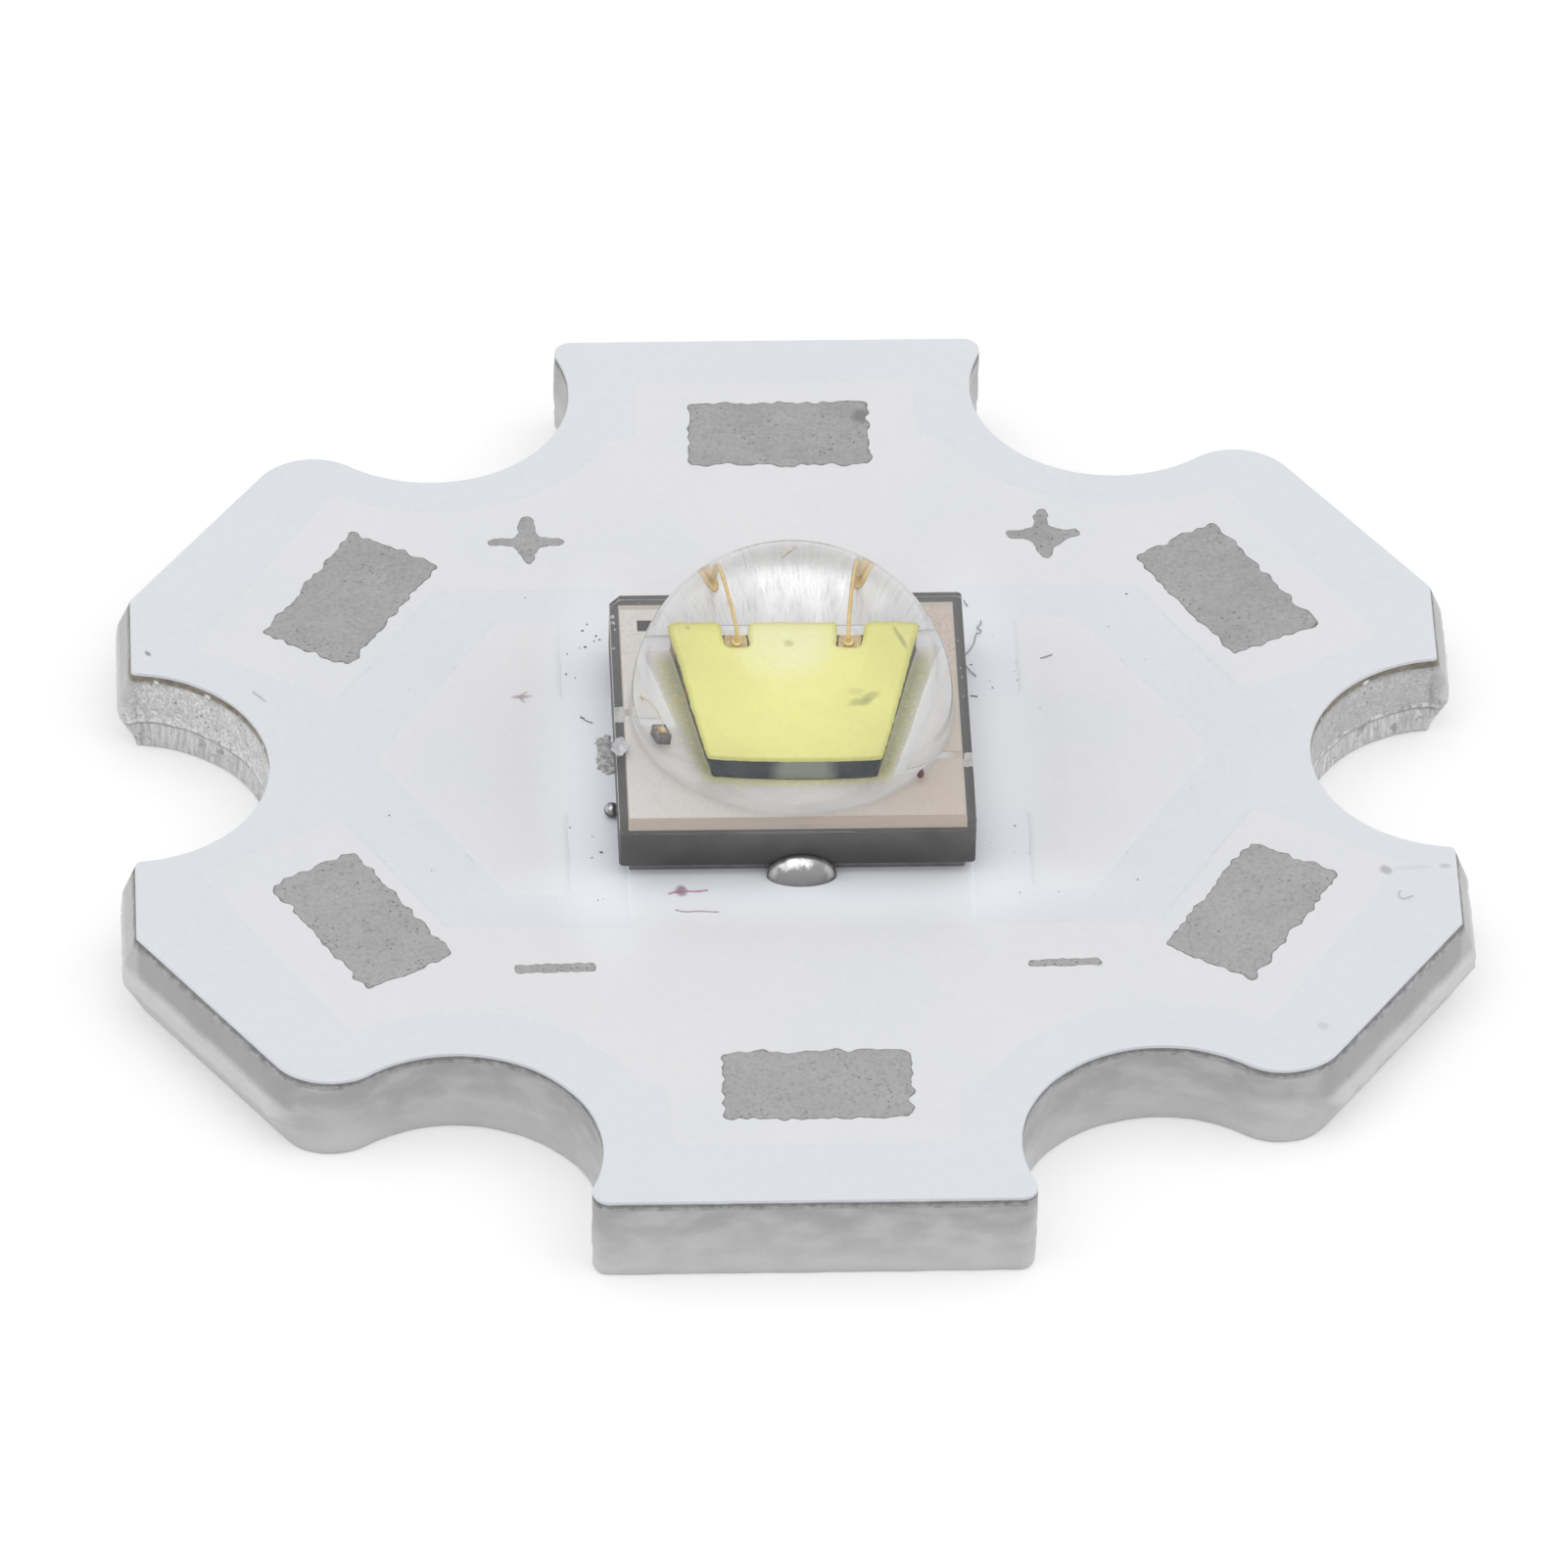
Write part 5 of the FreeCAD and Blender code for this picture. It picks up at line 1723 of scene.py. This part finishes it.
def light_all_round():
    """Light from all round, stronger from the sides, under which the background stays white."""
    world = bpy.data.worlds.new("even_light")
    bpy.context.scene.world = world
    paint = Paint(world)
    seen = seen_directly(paint)
    x, _, z = paint.axes(paint.node("TexCoord"))
    sidelong = x * x * 0.95 + z * z * 0.42 + 0.36
    strength = sidelong + seen * (1 - sidelong)
    light = paint.node("Background", {}, {"Color": (1, 1, 1, 1), "Strength": strength})
    paint.node("OutputWorld", {}, {"Surface": light})


def place_key():
    """Soft round lamp above the board."""
    lamp = bpy.data.lights.new("soft_key", "AREA")
    lamp.shape = "DISK"
    lamp.size = KEY_WIDTH
    lamp.energy = KEY_WATTS
    key = placed("soft_key", lamp)
    key.location = KEY_PLACE
    key.rotation_euler = (-key.location).to_track_quat("-Z", "Y").to_euler()


def place_camera():
    """Camera at the photograph's angle, distance and field of view."""
    azimuth, elevation, roll = (math.radians(a) for a in (CAMERA_AZIMUTH, CAMERA_ELEVATION, CAMERA_ROLL))
    aim = Vector((*CAMERA_AIM, node_top("solder_mask")))
    back = Vector((math.sin(azimuth) * math.cos(elevation), -math.cos(azimuth) * math.cos(elevation),
                   math.sin(elevation)))
    level = Vector((0, 0, 1)).cross(back).normalized()
    upright = back.cross(level)
    right = level * math.cos(roll) + upright * math.sin(roll)
    up = upright * math.cos(roll) - level * math.sin(roll)
    data = bpy.data.cameras.new("photo_camera")
    data.sensor_fit = "HORIZONTAL"
    data.sensor_width = SENSOR_WIDTH
    data.lens = FOCAL_PIXELS * SENSOR_WIDTH / PICTURE_PIXELS
    data.clip_start = 0.02
    camera = placed("photo_camera", data)
    matrix = Matrix((right, up, back)).transposed().to_4x4()
    matrix.translation = (aim + back * CAMERA_DISTANCE) * MM
    camera.matrix_world = matrix
    bpy.context.scene.camera = camera


# Operators

class LEDCHIP_OT_core(bpy.types.Operator):
    """Build the punched core and the resin layer on it"""
    bl_idname = "led_chip.core"
    bl_label = "Core and resin"

    def execute(self, context):
        build_core(context.scene.led_board)
        build_resin(context.scene.led_board)
        return {"FINISHED"}


class LEDCHIP_OT_mask(bpy.types.Operator):
    """Build the white mask"""
    bl_idname = "led_chip.mask"
    bl_label = "Mask"

    def execute(self, context):
        build_mask(context.scene.led_board)
        return {"FINISHED"}


class LEDCHIP_OT_pads(bpy.types.Operator):
    """Build the tinned pads and the polarity marks"""
    bl_idname = "led_chip.pads"
    bl_label = "Pads and marks"

    def execute(self, context):
        build_pads(context.scene.led_board)
        build_marks()
        return {"FINISHED"}


class LEDCHIP_OT_ceramic(bpy.types.Operator):
    """Build the ceramic body"""
    bl_idname = "led_chip.ceramic"
    bl_label = "Ceramic"

    def execute(self, context):
        build_ceramic()
        return {"FINISHED"}


class LEDCHIP_OT_die(bpy.types.Operator):
    """Build the die and the phosphor on it"""
    bl_idname = "led_chip.die"
    bl_label = "Die"

    def execute(self, context):
        build_die()
        build_phosphor()
        return {"FINISHED"}


class LEDCHIP_OT_wires(bpy.types.Operator):
    """Build the gold wires and the protection chip"""
    bl_idname = "led_chip.wires"
    bl_label = "Wires and chip"

    def execute(self, context):
        build_bond_wires(context.scene.led_package)
        build_protection_wire(context.scene.led_package)
        build_chip()
        return {"FINISHED"}


class LEDCHIP_OT_solder(bpy.types.Operator):
    """Build the front joint and the loose ball of solder"""
    bl_idname = "led_chip.solder"
    bl_label = "Solder"

    def execute(self, context):
        build_solder(context.scene.led_package)
        return {"FINISHED"}


class LEDCHIP_OT_flux(bpy.types.Operator):
    """Build the flux, the flake of wax and the stray coat"""
    bl_idname = "led_chip.flux"
    bl_label = "Flux and coat"

    def execute(self, context):
        build_flux()
        build_flecks()
        return {"FINISHED"}


class LEDCHIP_OT_metal(bpy.types.Operator):
    """Paint the copper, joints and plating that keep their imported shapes"""
    bl_idname = "led_chip.metal"
    bl_label = "Inner metal"

    def execute(self, context):
        paint_kept_nodes()
        return {"FINISHED"}


class LEDCHIP_OT_silicone(bpy.types.Operator):
    """Build the clear silicone film and dome"""
    bl_idname = "led_chip.silicone"
    bl_label = "Silicone"

    def execute(self, context):
        build_silicone(context.scene.led_package)
        return {"FINISHED"}


class LEDCHIP_OT_dust(bpy.types.Operator):
    """Scatter the specks, smudges and fibres"""
    bl_idname = "led_chip.dust"
    bl_label = "Dust and lint"

    def execute(self, context):
        build_dust()
        build_smudges(context.scene.led_package)
        build_threads()
        return {"FINISHED"}


class LEDCHIP_OT_stage(bpy.types.Operator):
    """Set up the floor, the light and the camera"""
    bl_idname = "led_chip.stage"
    bl_label = "Stage"

    def execute(self, context):
        place_floor()
        light_all_round()
        place_key()
        place_camera()
        context.scene.view_settings.view_transform = "Standard"
        return {"FINISHED"}


OPERATORS = (
    LEDCHIP_OT_core, LEDCHIP_OT_mask, LEDCHIP_OT_pads, LEDCHIP_OT_ceramic, LEDCHIP_OT_die,
    LEDCHIP_OT_wires, LEDCHIP_OT_solder, LEDCHIP_OT_flux, LEDCHIP_OT_metal, LEDCHIP_OT_silicone,
    LEDCHIP_OT_dust, LEDCHIP_OT_stage,
)
GROUPS = {"led_board": BoardSizes, "led_package": PackageSizes, "led_colours": Colours}


class LEDCHIP_PT_sidebar(bpy.types.Panel):
    """Buttons and sizes of the LED chip"""
    bl_label = "LED chip"
    bl_space_type = "VIEW_3D"
    bl_region_type = "UI"
    bl_category = "LED chip"

    def draw(self, context):
        column = self.layout.column()
        for operator in OPERATORS:
            column.operator(operator.bl_idname)
        for name, group in GROUPS.items():
            for size in group.__annotations__:
                column.prop(getattr(context.scene, name), size)


CLASSES = (*GROUPS.values(), *OPERATORS, LEDCHIP_PT_sidebar)


def register():
    for kind in CLASSES:
        bpy.utils.register_class(kind)
    for name, group in GROUPS.items():
        setattr(bpy.types.Scene, name, PointerProperty(type=group))


def unregister():
    for name in GROUPS:
        delattr(bpy.types.Scene, name)
    for kind in reversed(CLASSES):
        bpy.utils.unregister_class(kind)


def main():
    register()
    bpy.ops.led_chip.core()
    bpy.ops.led_chip.mask()
    bpy.ops.led_chip.pads()
    bpy.ops.led_chip.ceramic()
    bpy.ops.led_chip.die()
    bpy.ops.led_chip.wires()
    bpy.ops.led_chip.solder()
    bpy.ops.led_chip.flux()
    bpy.ops.led_chip.metal()
    bpy.ops.led_chip.silicone()
    bpy.ops.led_chip.dust()
    bpy.ops.led_chip.stage()


if __name__ == "__main__":
    main()
